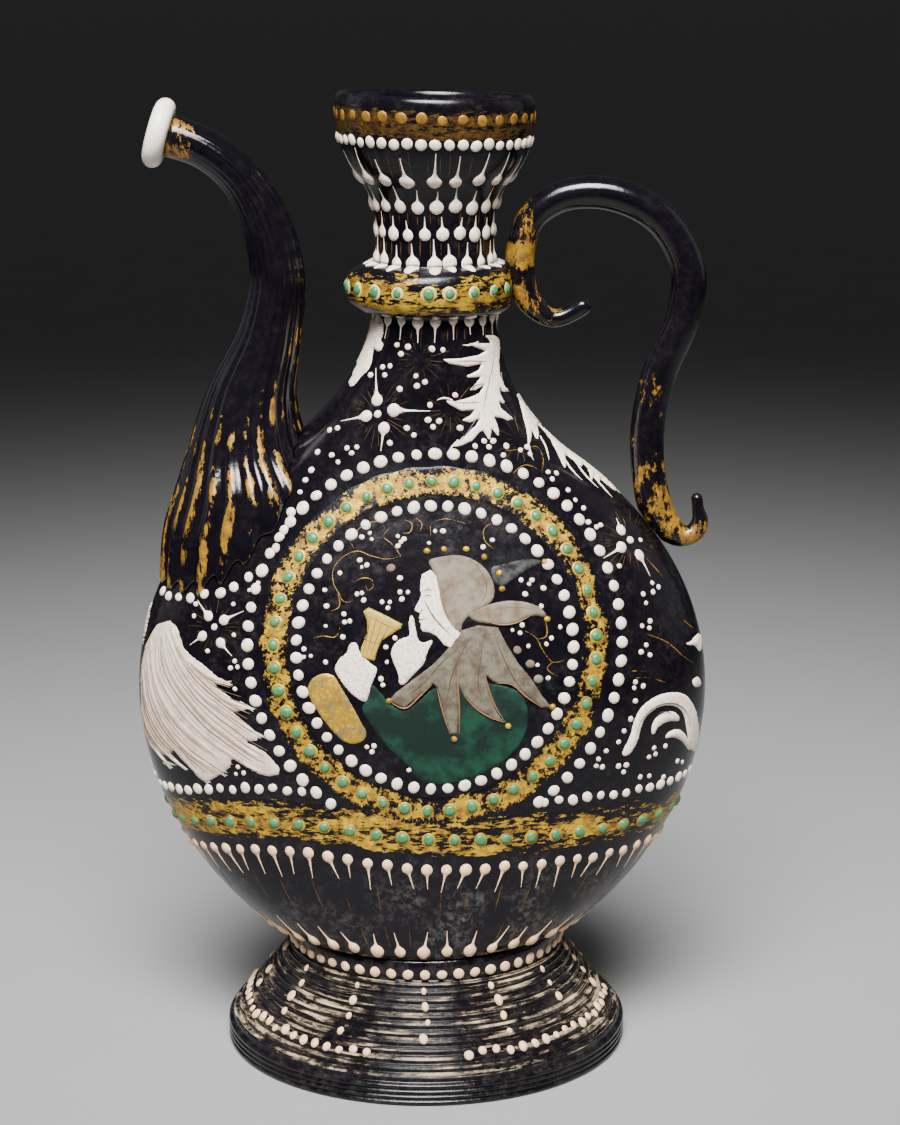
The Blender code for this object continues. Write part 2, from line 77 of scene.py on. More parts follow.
NECK_SWEEP = 0.0180
NECK_TURN = 0.0066
NECK_RADIUS = 0.0172
DEPTH_FULLNESS = 0.0400
DEPTH_SWEEP = 0.0520
BODY_DRIFT = -0.0010
NECK_DRIFT = 0.0028
DRIFT_START = 0.0680
KNOP_RADIUS = 0.0230
KNOP_HALF_HEIGHT = 0.0066
KNOP_RISE = 0.0065
KNOP_DRIFT = 0.0012
KNOP_SQUARENESS = 2.6
THROAT_RISE = 0.0125
THROAT_RADIUS = 0.0163
CUP_TURN_RISE = 0.0180
CUP_TURN_RADIUS = 0.0215
CUP_TURN_SLOPE = 0.85
CUP_TURN = 0.0040
THROAT_LENGTH = 0.0100
CUP_RADIUS = 0.0275
CUP_RISE = 0.0195
CUP_FULLNESS = 0.0105
RIM_HEIGHT = 0.0029
RIM_TILT = math.radians(1.5)
SPOUT_SEAT_RISE = 0.0988
SPOUT_ROOT_RADIUS = 0.0260
SPOUT_COURSE = (
    (0.0011, 0.0160, 0.0255),
    (0.0026, 0.0280, 0.0236),
    (0.0005, 0.0385, 0.0180),
    (0.0013, 0.0540, 0.0129),
    (0.0064, 0.0710, 0.0091),
    (0.0087, 0.0880, 0.0077),
    (0.0056, 0.1027, 0.0070),
    (-0.0023, 0.1160, 0.0060),
    (-0.0112, 0.1227, 0.0057),
)
SPOUT_TIP = (-0.0203, 0.1260)
SPOUT_TIP_RADIUS = 0.0059
SPOUT_ROOT_FLATNESS = 0.93
FLUTE_COUNT = 24
FLUTE_DEPTH = 0.0016
FLUTE_FADE = 0.55
TUBE_FLUTES = 0.16
LIP_RADIUS = 0.0098
LIP_THICKNESS = 0.0056
LIP_ROUNDING = 0.0028
LIP_MOUTH_FLARE = 0.0012
HANDLE_SEAT_DROP = 0.0172
HANDLE_ARCH = (
    (0.0196, -0.0057, 0.0025),
    (0.0112, -0.0089, 0.0026),
    (0.0053, -0.0047, 0.0034),
    (0.0022, 0.0065, 0.0040),
    (0.0060, 0.0197, 0.0040),
    (0.0132, 0.0246, 0.0043),
    (0.0228, 0.0260, 0.0046),
    (0.0414, 0.0183, 0.0047),
    (0.0492, 0.0025, 0.0049),
)
HANDLE_TAIL = (
    (0.0119, 0.0579, 0.0049),
    (0.0047, 0.0385, 0.0049),
    (0.0019, 0.0215, 0.0048),
    (0.0027, 0.0100, 0.0048),
    (0.0040, 0.0036, 0.0049),
    (0.0077, -0.0035, 0.0043),
    (0.0127, -0.0067, 0.0031),
    (0.0159, -0.0055, 0.0028),
    (0.0173, -0.0025, 0.0024),
    (0.0167, 0.0011, 0.0017),
    (0.0163, 0.0041, 0.0016),
)
PRESS_STEP = 0.0001
PRESS_STEPS = 100
PRESS_LIFT = 0.4
SLOPE_STEP = 0.0004
QUARTER = math.pi / 2.0

# How finely the glass and the finish are meshed
BODY_SIDES = 160
FOOT_SIDES = 192
SPOUT_SIDES = FLUTE_COUNT * 8
SPOUT_ROWS = 120
HANDLE_ROWS = 240
HANDLE_SIDES = 32
LIP_SIDES = 48
RIB_STEPS = 24
INSIDE_ROWS = 56
BODY_ROWS = (64, 60, 40, 22)
KNOP_ROWS = 27
RIM_ROWS = 11
END_ROWS = 9
FOOT_HOLLOW_ROWS = 24
BAND_COLUMNS = 420
RING_COLUMNS = 361
LEVEL_STEPS = 721
SIGHT_STEPS = 300

# Forms that are finer than in the solids
THREADS = 3
THREAD_DEPTH = 0.00016
RIB_SHARPNESS = 0.7
FOOT_HOLLOW_REACH = 0.94
TUBE_FLUTE_FADE = 0.25
SPOUT_CALM = (0.45, 0.2)
LIP_SEAT = 0.001

# Where the glass is weathered and gilded; a ramp is its start and its length
WEATHER_TOP = (0.046, 0.022)
WEATHER_SIDES = ((-0.020, 0.030), (0.045, 0.025))
WEATHER_ALL = 0.13
WEATHER_LOW = 0.42
WEATHER_LOW_RIGHT = 0.48
TUBE_WEATHER = 0.05
FOOT_EDGE_WEAR = 0.62
RIDGE_GOLD = 1.12
RIDGE_GOLD_START = (0.42, 0.40)
RIDGE_POWER = 1.1
TIP_GOLD = 0.75
TIP_GOLD_END = (0.03, 0.09)
HANDLE_GOLD = (
    (1.10, (0.03, 0.05), (0.19, 0.10)),
    (1.0, (0.76, 0.10), (0.93, 0.03)),
    (0.48, (0.60, 0.06), (0.78, 0.06)),
)

# The camera: its place was solved from the ellipses of the foot and the mouth in the picture
PICTURE_SIZE = (900, 1125)
FOCAL_PIXELS = 2703.9
CAMERA_SIDE = 0.00698
CAMERA_DISTANCE = 0.75075
CAMERA_HEIGHT = 0.3062
CAMERA_PITCH = 0.2175
SENSOR_WIDTH = 36.0

# The studio. A light: name, place, size, power and spread
FLOOR_HALF = 60.0
LIT_PLACE = (0.0, 0.0, 0.12)
LIGHTS = (
    ("main_light", (-0.05, -0.66, 1.02), (0.80, 0.50), 7.6, 0.86),
    ("left_light", (-1.05, 0.30, 0.55), (0.7, 0.9), 0.2, 1.6),
    ("right_light", (0.95, 0.20, 0.55), (0.7, 0.9), 0.2, 1.6),
)
WORLD = (0.06, 0.06, 0.06, 1.0)

# How the enamel and the gold stand on the glass; an across row is a share of the half width and of the rise
SUNK = 0.00012
SMALL_DOT = 0.0011
DOT_RISE = 0.45
DOT_UNEVENNESS = 0.05
DOME_PROFILE = ((0.35, 0.94), (0.65, 0.77), (0.87, 0.47), (1.0, 0.0))
ROUND_ACROSS = ((-1.0, 0.0), (-0.62, 0.78), (0.0, 1.0), (0.62, 0.78), (1.0, 0.0))
FLAT_ACROSS = (
    (-1.0, -0.5), (-0.9, 1.0), (-0.7, 1.0), (-0.35, 1.0), (0.0, 1.0),
    (0.35, 1.0), (0.7, 1.0), (0.9, 1.0), (1.0, -0.5),
)
DROP_BALL_TURN = 0.72 * math.pi
TAIL_START = 0.34
TAIL_POWER = 1.7
TAIL_END = 0.07
THINNEST = 0.00003
LINE_TAPER = 0.3
LINE_THINNEST = 0.05
LINE_ROUNDNESS = 0.8
FIELD_ROW_STEP = 0.87
FIELD_CLEARANCE = 0.45
FIELD_RIM = 0.05
DOT_ROW_UNEVENNESS = 0.0003
DROP_ROW_UNEVENNESS = 0.0004
GOLD_THICKNESS = 0.00006
BAND_GRAIN = (0.45, 0.45, 1.6)
PIXEL = 0.00028

# Fields of enamel: how high, how wide the rounded edge is and how fine the mesh, both in pixels
COAT_FIELD = (0.00022, 3.0, 2.4)
SLEEVE_FIELD = (0.00030, 3.0, 2.0)
FACE_FIELD = (0.00030, 2.0, 1.6)
HAND_FIELD = (0.00030, 2.0, 1.8)
COLLAR_FIELD = (0.00050, 2.5, 1.8)
HOOD_FIELD = (0.00055, 3.0, 2.0)
EAR_FIELD = (0.00060, 2.5, 1.8)
THIN_EAR_FIELD = (0.00020, 2.5, 1.8)
GOBLET_FIELD = (0.00045, 3.0, 1.8)
LEAF_FIELD = (0.0005, 2.5, 1.5)
CREATURE_FIELD = (0.0006, 3.5, 1.8)
WING_FIELD = (0.00035, 3.0, 2.4)
WING_BEHIND_FIELD = (0.00035, 2.0, 1.6)
CURL_FIELD = (0.00055, 4.0, 2.0)

# Lines: half width in pixels, how high, and the share of the width at the start and at the end
HAIR_LINE = (1.1, 0.0003, (0.9, 0.15))
VEIN_LINE = (0.70, 0.0001, (0.25, 0.25))
CREASE_LINE = (0.5, 0.0001, (0.25, 0.25))
HEM_LINE = (0.8, 0.00015, (0.25, 0.25))
FOLD_LINE = (0.6, 0.0001, (0.3, 0.1))
FACE_LINE = (0.75, 0.00008, (0.5, 0.3))
GOBLET_RING = (0.9, 0.00035, (0.8, 0.8))
GOBLET_CUT = (0.45, 0.0001, (0.6, 0.3))
SCROLL_LINE = (0.55, 0.00008, (0.4, 0.2))
RAY_LINE = (0.20, 0.00005, (0.5, 0.2))
FEATHER_TIP_LINE = (0.8, 0.0003, (0.9, 0.1))
FEATHER_RISE = 0.00050
FEATHER_ENDS = (0.7, 0.12)
BARB_RISE = 0.0001
BARB_WIDTHS = (0.40, 0.72)

# What the lines that lie on enamel are raised by
VEIN_LIFT = 0.00045
CREASE_LIFT = 0.00055
HEM_LIFT = 0.00048
FOLD_LIFT = 0.00052
FACE_LIFT = 0.00030
GOBLET_LIFT = 0.00042
BARB_LIFT = 0.00042

# Dots on gold, as radius and rise: a low rim and the green dot on it
RIM_DOT = (0.0022, 0.12)
GREEN_DOT = (0.00158, 0.55)
KNOP_RIM_RISE = 0.20
KNOP_GREEN_RISE = 0.62
KNOP_GREEN_SHARES = (0.60, 0.86)

# Rows of dots round the vessel: height, count, radius and the turn in steps
CUP_DOT_ROW = (0.2595, 44, 0.00156, 0.07)
CUP_OCHRE_ROW = (0.2662, 31, 0.00165, 0.4)
CUP_OCHRE_RISE = 0.22
KNOP_DOT_ROW = (0.2194, 20, 0.0021, -0.2)
ABOVE_BELT_ROW = (0.0812, 92, 0.00146, 0.2)

# Rows of drops round the vessel: height, count, radius, tail, the turn in steps and the head's flattening
NECK_DROP_ROWS = (
    (0.2494, 20, 0.00190, 0.0070, -0.14, 1.14),
    (0.2421, 21, 0.00190, 0.0048, 0.11, 1.0),
    (0.2347, 21, 0.00190, 0.0048, 0.46, 1.0),
    (0.2268, 20, 0.00190, 0.0062, -0.19, 1.0),
    (0.2112, 22, 0.00158, -0.0048, 0.05, 1.0),
)
BELOW_BELT_ROW = (0.0628, 66, 0.00162, -0.0065, 0.3)
LOW_DROP_ROW = (0.0383, 42, 0.00185, 0.0056, 0.1)

# Bands of gold as low and high edges, and how the rows at the belly wander in front
CUP_BAND = (0.2601, 0.2690)
BELT_BAND = (0.0662, 0.0784)
BELT_DOTS = 52
BELT_DOT_HEIGHT = 0.0712
BELT_DOT_PHASE = 0.3
KNOP_GOLD_SHARE = 0.93
ROW_FRONT = 0.010
ROW_HUMP = 0.0034
ROW_HUMP_X = -0.034
ROW_HUMP_WIDTH = 0.024
ROW_DIP = 0.0034
ROW_DIP_X = -0.078
ROW_DIP_WIDTH = 0.014
HANDLE_SEAT_ANGLE = math.radians(16.0)

# The round panel, in front and behind; a white ring is its radius, count and dot size
PANEL_X = 0.0029
PANEL_HEIGHT = 0.1241
PANEL_RADIUS = 0.0443
PANEL_BAND = 0.0042
PANEL_GREEN_DOTS = 45
PANEL_GREEN_PHASE = 0.4
OUTER_RING = (0.0515, 64, 0.00175)
INNER_RING = (0.0379, 51, 0.00168)
BELT_CLEARANCE = 0.0018
RING_GAP = 0.0290

# The foot's dots
COLLAR_DOTS = 52
COLLAR_DOT = 0.00155
COLLAR_DOT_HEIGHT = 0.0312
FOOT_DOTS = 80
FOOT_DOT = 0.00135
FOOT_DOT_HEIGHT = 0.0125
FOOT_LINES = 13
FOOT_LINE_DOTS = 4
FOOT_LINE_DOT = 0.00130
FOOT_LINE_DROP = 0.0042
FOOT_LINE_STEP = 0.0036
FOOT_LINE_LOSS = 0.12

# Small dots, streaks between the drops, and the plainer back; a petal is its near and far end and its size
BELL_DOT = 0.00095
PANEL_DOT = 0.00072
PANEL_GREY_DOT = 0.00120
STREAK_SHARE = 0.8
STREAK_WIDTH = 0.00015
STREAK_RISE = 0.4
STREAK_TAPER = (0.3, 0.8, 1.0, 0.9, 0.6, 0.2)
CLUSTER_REACH = 1.35
BACK_MIDDLE = 0.0026
BACK_PETALS = ((0.0085, 0.0250, 0.0024), (0.0075, 0.0180, 0.0018))
BACK_CLUSTER_REACHES = (0.0205, 0.0300)
BACK_PANEL_CLUSTER_DOT = 0.0008
BACK_FLOWER_MIDDLE = 0.0012
BACK_FLOWER_DROP = 0.0016
BACK_HEAD = 0.0032
BACK_CLUSTER_DOT = 0.00082

# Places read from the picture, in its pixels. A flower: drop size, middle, heads and tails
FLOWERS = (
    (
        0.00185, (378, 414),
        ((366, 416), (394, 410), (377, 400), (384, 428)),
        ((341, 421), (430, 411), (376, 368), (381, 451)),
    ),
    (
        0.00165, (215, 627),
        ((209, 616), (224, 620), (203, 636), (221, 643)),
        ((198, 600), (244, 611), (190, 645), (232, 656)),
    ),
    (
        0.00165, (630, 540),
        ((621, 530), (621, 547), (639, 555)),
        ((616, 518), (603, 558), (650, 576)),
    ),
)

# Dots on the shoulder, the left side and the right side, and round the spout's root
SHOULDER_DOTS = (
    (397, 345), (408, 347), (401, 354), (383, 367), (390, 366), (385, 375), (371, 375), (432, 349),
    (443, 350), (416, 376), (425, 382), (417, 386), (400, 389), (430, 405), (428, 420), (439, 421),
    (433, 427), (455, 395), (460, 428), (407, 428), (414, 435), (390, 443), (347, 448), (357, 447),
    (352, 453), (475, 446), (484, 441), (493, 441), (489, 447), (506, 446), (503, 455), (520, 450),
    (527, 447), (530, 454), (548, 472), (556, 473), (552, 479), (332, 455), (338, 462), (330, 430),
    (338, 428), (318, 452), (312, 470), (306, 480), (300, 492),
)
LEFT_DOTS = (
    (194, 616), (234, 604), (208, 651), (234, 635), (235, 661), (231, 668), (238, 667), (235, 689),
    (238, 767), (236, 774), (244, 773), (196, 604), (250, 590), (258, 583),
)
RIGHT_DOTS = (
    (588, 522), (596, 527), (600, 525), (619, 566), (652, 583), (658, 587), (653, 592), (642, 626),
    (650, 621), (649, 628), (646, 645), (641, 652), (650, 655), (635, 682), (634, 688), (643, 686),
    (635, 701), (630, 719), (624, 731), (618, 742), (606, 751), (598, 759), (596, 766), (602, 767),
    (618, 766), (626, 765), (623, 772), (654, 748), (655, 754), (665, 746), (649, 757), (640, 777),
    (649, 776), (663, 777), (677, 761), (682, 762), (643, 594), (646, 603), (640, 540), (575, 500),
    (583, 508), (568, 490),
)
SPOUT_BASE_DOTS = (
    (163, 591), (169, 596), (179, 597), (191, 598), (205, 594), (221, 593), (234, 587), (249, 577),
    (264, 571), (276, 548), (284, 530), (291, 512),
)

SPOUT_BASE_DOT = 0.00145
DOT_GROUPS = (
    (0.00088, SHOULDER_DOTS),
    (0.00072, LEFT_DOTS),
    (0.00082, RIGHT_DOTS),
    (SPOUT_BASE_DOT, SPOUT_BASE_DOTS),
)
FLOWER_MIDDLE = 0.66

# The leaf beside the neck, the leaf along the shoulder's edge and the small creature, as outlines
LEAF_OUTLINES = (
    (
        (483, 335), (488, 339), (490, 343), (477, 343), (465, 343), (474, 347), (485, 351), (478, 355),
        (461, 358), (442, 359), (449, 364), (467, 367), (481, 364), (478, 370), (470, 374), (463, 376),
        (470, 378), (480, 377), (476, 383), (468, 391), (476, 390), (483, 386), (479, 393), (470, 397),
        (456, 401), (444, 400), (450, 405), (461, 411), (474, 410), (470, 415), (461, 420), (470, 423),
        (479, 419), (475, 426), (467, 432), (452, 447), (461, 446), (472, 441), (480, 432), (483, 431),
        (486, 436), (490, 442), (491, 434), (491, 428), (494, 432), (499, 438), (499, 431), (497, 423),
        (494, 417), (501, 418), (508, 421), (514, 419), (508, 414), (501, 408), (499, 402), (503, 404),
        (505, 403), (501, 396), (499, 388), (503, 392), (510, 392), (505, 386), (500, 375), (499, 362),
        (500, 348), (499, 339), (495, 335),
    ),
    (
        (514, 389), (518, 398), (521, 409), (523, 418), (526, 429), (528, 447), (531, 440), (532, 431),
        (535, 438), (538, 440), (539, 435), (537, 424), (541, 428), (549, 438), (555, 449), (560, 460),
        (565, 470), (566, 463), (565, 454), (571, 459), (577, 463), (583, 469), (582, 463), (588, 469),
        (591, 482), (594, 475), (599, 486), (600, 479), (607, 485), (618, 493), (613, 483), (604, 472),
        (590, 460), (574, 447), (561, 436), (549, 425), (537, 414), (529, 405), (521, 395),
    ),
)
CREATURE_OUTLINE = (
    (366, 321), (370, 318), (382, 317), (384, 324), (384, 334), (381, 340), (384, 344), (382, 350),
    (378, 352), (374, 349), (373, 356), (372, 362), (370, 368), (367, 372), (362, 376), (359, 380),
    (354, 386), (350, 387), (348, 382), (352, 376), (354, 370), (357, 366), (356, 361), (359, 357),
    (358, 352), (362, 348), (364, 342), (363, 336), (366, 330),
)
LEAF_HAIRS = (
    ((560, 452), (572, 470), (582, 480)),
    ((574, 460), (586, 476), (598, 488)),
    ((588, 470), (600, 484), (612, 497)),
    ((592, 470), (606, 482), (621, 493)),
    ((596, 470), (611, 478), (625, 490)),
    ((540, 436), (546, 448), (549, 460)),
    ((528, 440), (530, 452), (533, 460)),
    ((478, 342), (470, 345), (462, 345)),
    ((452, 400), (444, 398), (437, 400)),
    ((458, 440), (451, 448), (447, 455)),
)
LEAF_VEINS = (
    ((494, 342), (491, 366), (486, 390), (481, 414)),
    ((487, 362), (472, 361), (452, 361)),
    ((484, 384), (476, 385), (470, 390)),
    ((481, 402), (466, 403), (452, 402)),
    ((480, 412), (470, 428), (458, 444)),
    ((500, 372), (502, 384), (507, 391)),
    ((517, 396), (535, 420), (560, 444), (590, 464)),
)
CREATURE_LINES = (
    ((376, 321), (382, 323), (380, 329), (375, 327)),
    ((372, 338), (378, 340), (382, 346)),
    ((366, 352), (372, 356)),
    ((362, 366), (367, 370)),
)

# The wing: its outline, then each feather's course with its half width
WING_OUTLINE = (
    (170, 620), (177, 626), (180, 633), (184, 647), (191, 655), (205, 665), (218, 677), (227, 681),
    (224, 685), (212, 685), (218, 692), (229, 697), (245, 705), (252, 709), (242, 711), (232, 713),
    (245, 726), (259, 734), (258, 741), (247, 742), (254, 745), (265, 751), (272, 758), (281, 769),
    (278, 775), (269, 777), (258, 774), (247, 767), (232, 759), (231, 767), (224, 773), (212, 780),
    (207, 783), (199, 779), (194, 773), (191, 763), (185, 757), (181, 749), (173, 751), (168, 757),
    (158, 752), (149, 747), (144, 721), (141, 702), (140, 679), (141, 664), (145, 645), (152, 631),
    (157, 624),
)
WING_UPPER = (
    (((163, 627), (159, 671), (172, 697), (191, 721), (212, 740), (235, 756), (258, 770), (277, 773)), 5.2),
    (((163, 633), (172, 671), (191, 699), (212, 722), (232, 738), (252, 753), (274, 764)), 4.6),
    (((168, 633), (181, 664), (201, 692), (227, 712), (245, 725), (262, 737)), 4.6),
    (((172, 629), (185, 657), (207, 682), (227, 699), (254, 710)), 4.6),
    (((173, 628), (181, 651), (196, 666), (212, 677), (230, 683)), 4.0),
)
WING_LOWER = (
    (((152, 640), (159, 689), (173, 715), (191, 734), (212, 751), (229, 764)), 5.4),
    (((148, 655), (156, 702), (171, 730), (189, 751), (209, 765), (224, 774)), 4.8),
    (((144, 670), (152, 715), (166, 738), (181, 753), (196, 770), (209, 783)), 4.6),
    (((143, 690), (149, 728), (159, 744), (172, 757), (186, 770)), 3.8),
    (((143, 705), (150, 740), (159, 753), (172, 768)), 3.0),
)
WING_BEHIND = ((146, 604), (150, 600), (151, 612), (148, 625), (145, 638), (142, 650), (141, 632), (143, 615))

# The curled tail on the right, with the pieces of enamel at the edge beside it
CURL_OUTLINES = (
    (
        (621, 752), (623, 757), (630, 755), (638, 742), (641, 727), (646, 716), (658, 707), (669, 705),
        (679, 708), (684, 716), (686, 729), (688, 741), (691, 752), (698, 751), (700, 734), (698, 716),
        (693, 702), (683, 692), (666, 692), (653, 697), (640, 707), (633, 721), (630, 736),
    ),
    (
        (652, 736), (650, 727), (656, 716), (668, 710), (678, 713), (681, 722), (668, 721), (658, 727),
        (655, 734),
    ),
    (
        (664, 738), (668, 731), (679, 728), (686, 734), (693, 749), (688, 751), (683, 742), (674, 737),
        (666, 739),
    ),
    (
        (684, 643), (690, 642), (695, 635), (699, 632), (702, 638), (703, 646), (700, 653), (697, 649),
        (694, 645), (689, 646),
    ),
    ((691, 680), (698, 675), (702, 682), (700, 687), (694, 688)),
)
CURL_LINES = (
    ((634, 742), (640, 720), (650, 709), (664, 703), (676, 704), (685, 712), (688, 726)),
    ((656, 714), (664, 711), (670, 713)),
)

# The figure in the panel: clothing, hands and goblet as outlines; its face is a plain profile in thirds
HOOD = (
    (426, 560), (441, 556), (459, 554), (474, 559), (486, 568), (494, 582), (495, 598), (486, 607),
    (474, 613), (463, 621), (461, 634), (453, 630), (445, 615), (440, 602), (437, 586), (433, 570),
)
EAR_UPPER = (
    (489, 566), (502, 564), (519, 559), (535, 558), (544, 561), (531, 568), (514, 578), (504, 587),
    (493, 584),
)
EAR_LOWER = (
    (466, 612), (482, 606), (504, 600), (525, 601), (541, 607), (549, 618), (531, 615), (519, 623),
    (502, 626), (486, 624), (472, 621),
)
COLLAR = (
    (461, 630), (478, 625), (498, 627), (506, 643), (519, 664), (531, 678), (541, 694), (552, 708),
    (541, 708), (525, 696), (510, 684), (496, 684), (486, 676), (489, 692), (496, 709), (506, 724),
    (492, 719), (478, 711), (463, 696), (458, 686), (459, 704), (458, 735), (450, 735), (442, 709),
    (437, 688), (433, 684), (421, 696), (404, 709), (388, 701), (396, 692), (412, 680), (433, 664),
    (449, 647),
)
COAT = (
    (369, 680), (380, 690), (390, 704), (404, 711), (421, 699), (433, 686), (470, 680), (514, 686),
    (527, 700), (529, 725), (521, 745), (504, 762), (484, 774), (457, 784), (433, 785), (417, 780),
    (408, 766), (388, 749), (372, 727), (359, 709), (369, 696),
)
SLEEVE = (
    (306, 688), (312, 677), (325, 672), (335, 675), (341, 686), (351, 702), (361, 721), (369, 735),
    (359, 745), (343, 743), (327, 725), (312, 704),
)
HAND_RAISED = (
    (410, 614), (414, 616), (416, 628), (418, 640), (424, 643), (431, 639), (434, 641), (427, 653),
    (425, 664), (412, 676), (404, 686), (398, 684), (399, 676), (392, 660), (390, 651), (396, 641),
    (404, 637), (410, 636), (408, 624),
)
HAND_ROUND_GOBLET = (
    (349, 643), (357, 641), (360, 653), (372, 664), (379, 668), (372, 684), (369, 696), (366, 703),
    (359, 700), (349, 692), (337, 676), (334, 668), (339, 658), (347, 653),
)
GOBLET = (
    (363, 611), (369, 607), (386, 615), (403, 624), (400, 629), (389, 636), (382, 641), (378, 651),
    (375, 661), (360, 658), (361, 647), (367, 633), (367, 621),
)
FOLD_LINES = (
    ((474, 632), (460, 655), (450, 682), (446, 706)),
    ((484, 634), (480, 660), (478, 686), (486, 706)),
    ((494, 634), (504, 660), (516, 682), (530, 698)),
    ((462, 644), (442, 662), (424, 682), (404, 698)),
    ((470, 560), (482, 574), (486, 592), (478, 606)),
    ((482, 612), (504, 608), (524, 608), (540, 612)),
    ((424, 600), (436, 620), (450, 634)),
)
GOBLET_CUTS = (
    ((371, 615), (368, 632), (364, 652)),
    ((377, 618), (372, 636), (367, 655)),
    ((383, 621), (377, 638), (371, 657)),
    ((390, 625), (382, 640), (375, 657)),
    ((366, 615), (382, 623), (398, 631)),
    ((364, 638), (372, 642), (380, 643)),
)
GOBLET_RINGS = (
    ((364, 611), (383, 620), (401, 628)),
    ((369, 624), (379, 631), (388, 636)),
    ((366, 643), (372, 646), (379, 647)),
)
BELLS = (
    (427, 551), (444, 549), (466, 549), (484, 557), (499, 573), (502, 589), (544, 562), (547, 619),
    (454, 739), (508, 726), (552, 707), (389, 701),
)
HEM_LINES = (
    ((390, 701), (404, 708), (421, 695), (432, 684)),
    ((437, 688), (442, 709), (450, 734)),
    ((459, 734), (459, 704), (458, 680), (461, 663)),
    ((464, 696), (478, 710), (492, 718), (504, 722)),
    ((505, 722), (496, 708), (488, 688), (484, 668)),
    ((497, 683), (510, 684), (525, 696), (541, 707)),
    ((438, 575), (440, 592), (444, 610), (452, 626)),
    ((470, 613), (486, 621), (502, 625), (518, 622), (531, 615)),
)
FACE_PLACE = (422, 574)
FACE_THIRD = 19.0
FACE_PROFILE = (
    (0.02, 0.00), (0.10, 0.40), (0.12, 0.85), (0.05, 1.06), (0.17, 1.36), (0.36, 1.72), (0.42, 1.90),
    (0.30, 2.00), (0.12, 2.04), (0.14, 2.16), (0.20, 2.30), (0.12, 2.38), (0.17, 2.50), (0.07, 2.62),
    (0.10, 2.82), (0.00, 3.02), (-0.40, 3.08), (-0.80, 3.30), (-1.15, 3.75), (-1.60, 3.95), (-2.10, 3.20),
    (-1.40, 1.80), (-0.90, 0.20), (-0.45, -0.25),
)
FACE_LINES = (
    ((-0.12, 1.20), (-0.30, 1.12), (-0.50, 1.20)),
    ((-0.04, 0.92), (-0.30, 0.82), (-0.55, 0.92)),
    ((0.12, 2.38), (-0.04, 2.40), (-0.20, 2.36)),
    ((0.10, 2.00), (0.02, 1.94), (0.00, 1.84)),
)

# The panel's ground
PANEL_DOTS = (
    (362, 537), (370, 533), (372, 539), (398, 536), (404, 539), (401, 542), (398, 546), (435, 531),
    (443, 531), (429, 543), (360, 560), (362, 567), (367, 565), (340, 573), (400, 578), (357, 594),
    (362, 593), (364, 600), (382, 602), (390, 602), (388, 608), (400, 592), (408, 592), (402, 599),
    (344, 614), (345, 622), (350, 621), (327, 606), (326, 626), (343, 637), (395, 638), (386, 647),
    (387, 662), (381, 679), (383, 685), (304, 649), (304, 657), (311, 656), (326, 662), (325, 590),
    (492, 540), (483, 547), (521, 580), (529, 584), (532, 580), (543, 588), (525, 594), (512, 630),
    (522, 625), (520, 633), (541, 606), (560, 627), (551, 638), (546, 644), (528, 646), (537, 665),
    (548, 678), (372, 752), (374, 746), (367, 747), (409, 770),
)
PANEL_GREY_DOTS = ((517, 650), (530, 664), (538, 679), (391, 568))
PANEL_SCROLLS = (
    ((401, 556), (388, 559), (372, 556), (357, 551), (343, 557), (334, 568), (333, 580),
     (338, 592), (345, 602),
     (352, 601), (352, 594)),
    ((355, 582), (363, 578), (372, 580), (373, 587), (368, 590), (366, 585)),
    ((355, 549), (351, 541), (355, 533), (363, 526), (372, 522), (382, 523), (385, 529)),
    ((431, 535), (431, 525), (443, 519), (457, 521), (466, 524)),
    ((491, 523), (484, 529), (484, 539), (494, 549)),
    ((525, 631), (535, 637), (543, 651), (553, 662), (564, 660)),
    ((553, 662), (547, 668), (557, 676)),
    ((545, 621), (545, 637), (537, 639)),
    ((338, 594), (339, 607), (331, 611)),
    ((341, 623), (335, 637), (323, 636), (314, 638)),
    ((401, 556), (392, 544), (384, 536), (390, 528)),
    ((405, 520), (412, 524), (410, 532), (402, 533)),
    ((416, 518), (422, 524), (419, 532)),
)
BODY_SCROLLS = (
    ((505, 451), (521, 449), (537, 447), (543, 459), (541, 471)),
    ((513, 473), (525, 465), (537, 469)),
    ((646, 634), (668, 643), (683, 656), (693, 663)),
    ((631, 671), (638, 671), (645, 671)),
    ((635, 678), (650, 678), (666, 683)),
    ((683, 620), (688, 624), (693, 628)),
    ((646, 558), (655, 568), (663, 577)),
)

# Streaks of gold round the vessel: height, count and length; and rays round the flowers in the picture
STREAK_ROWS = (
    (0.2502, 54, 0.0062),
    (0.2375, 36, 0.0030),
    (0.2290, 36, 0.0035),
    (0.2060, 44, 0.0035),
    (0.0500, 40, 0.0070),
    (0.0395, 50, 0.0055),
)
RAY_CENTRES = (
    ((378, 414), 28, 14, 30),
    ((215, 627), 22, 12, 24),
    ((630, 540), 24, 14, 30),
    ((420, 360), 16, 10, 26),
    ((450, 410), 16, 8, 26),
    ((520, 440), 14, 8, 24),
)
BACK_FLOWERS = (
    (0.0028, 0.1925, 0.0085), (-0.0160, 0.1860, 0.0075), (0.0220, 0.1860, 0.0075), (-0.0640, 0.1220, 0.0080),
    (0.0640, 0.1220, 0.0080), (-0.0600, 0.0900, 0.0070), (0.0620, 0.0900, 0.0070), (0.0540, 0.1540, 0.0070),
)
BACK_CLUSTERS = (
    (-0.0080, 0.2010), (0.0140, 0.2010), (-0.0060, 0.1830), (0.0110, 0.1830), (-0.0270, 0.1790),
    (0.0330, 0.1790), (-0.0560, 0.1060), (0.0600, 0.1060), (-0.0700, 0.1080), (0.0720, 0.1080),
    (-0.0480, 0.0860), (0.0500, 0.0870), (0.0480, 0.1630), (0.0610, 0.1400), (-0.0680, 0.0950),
    (0.0700, 0.0960),
)


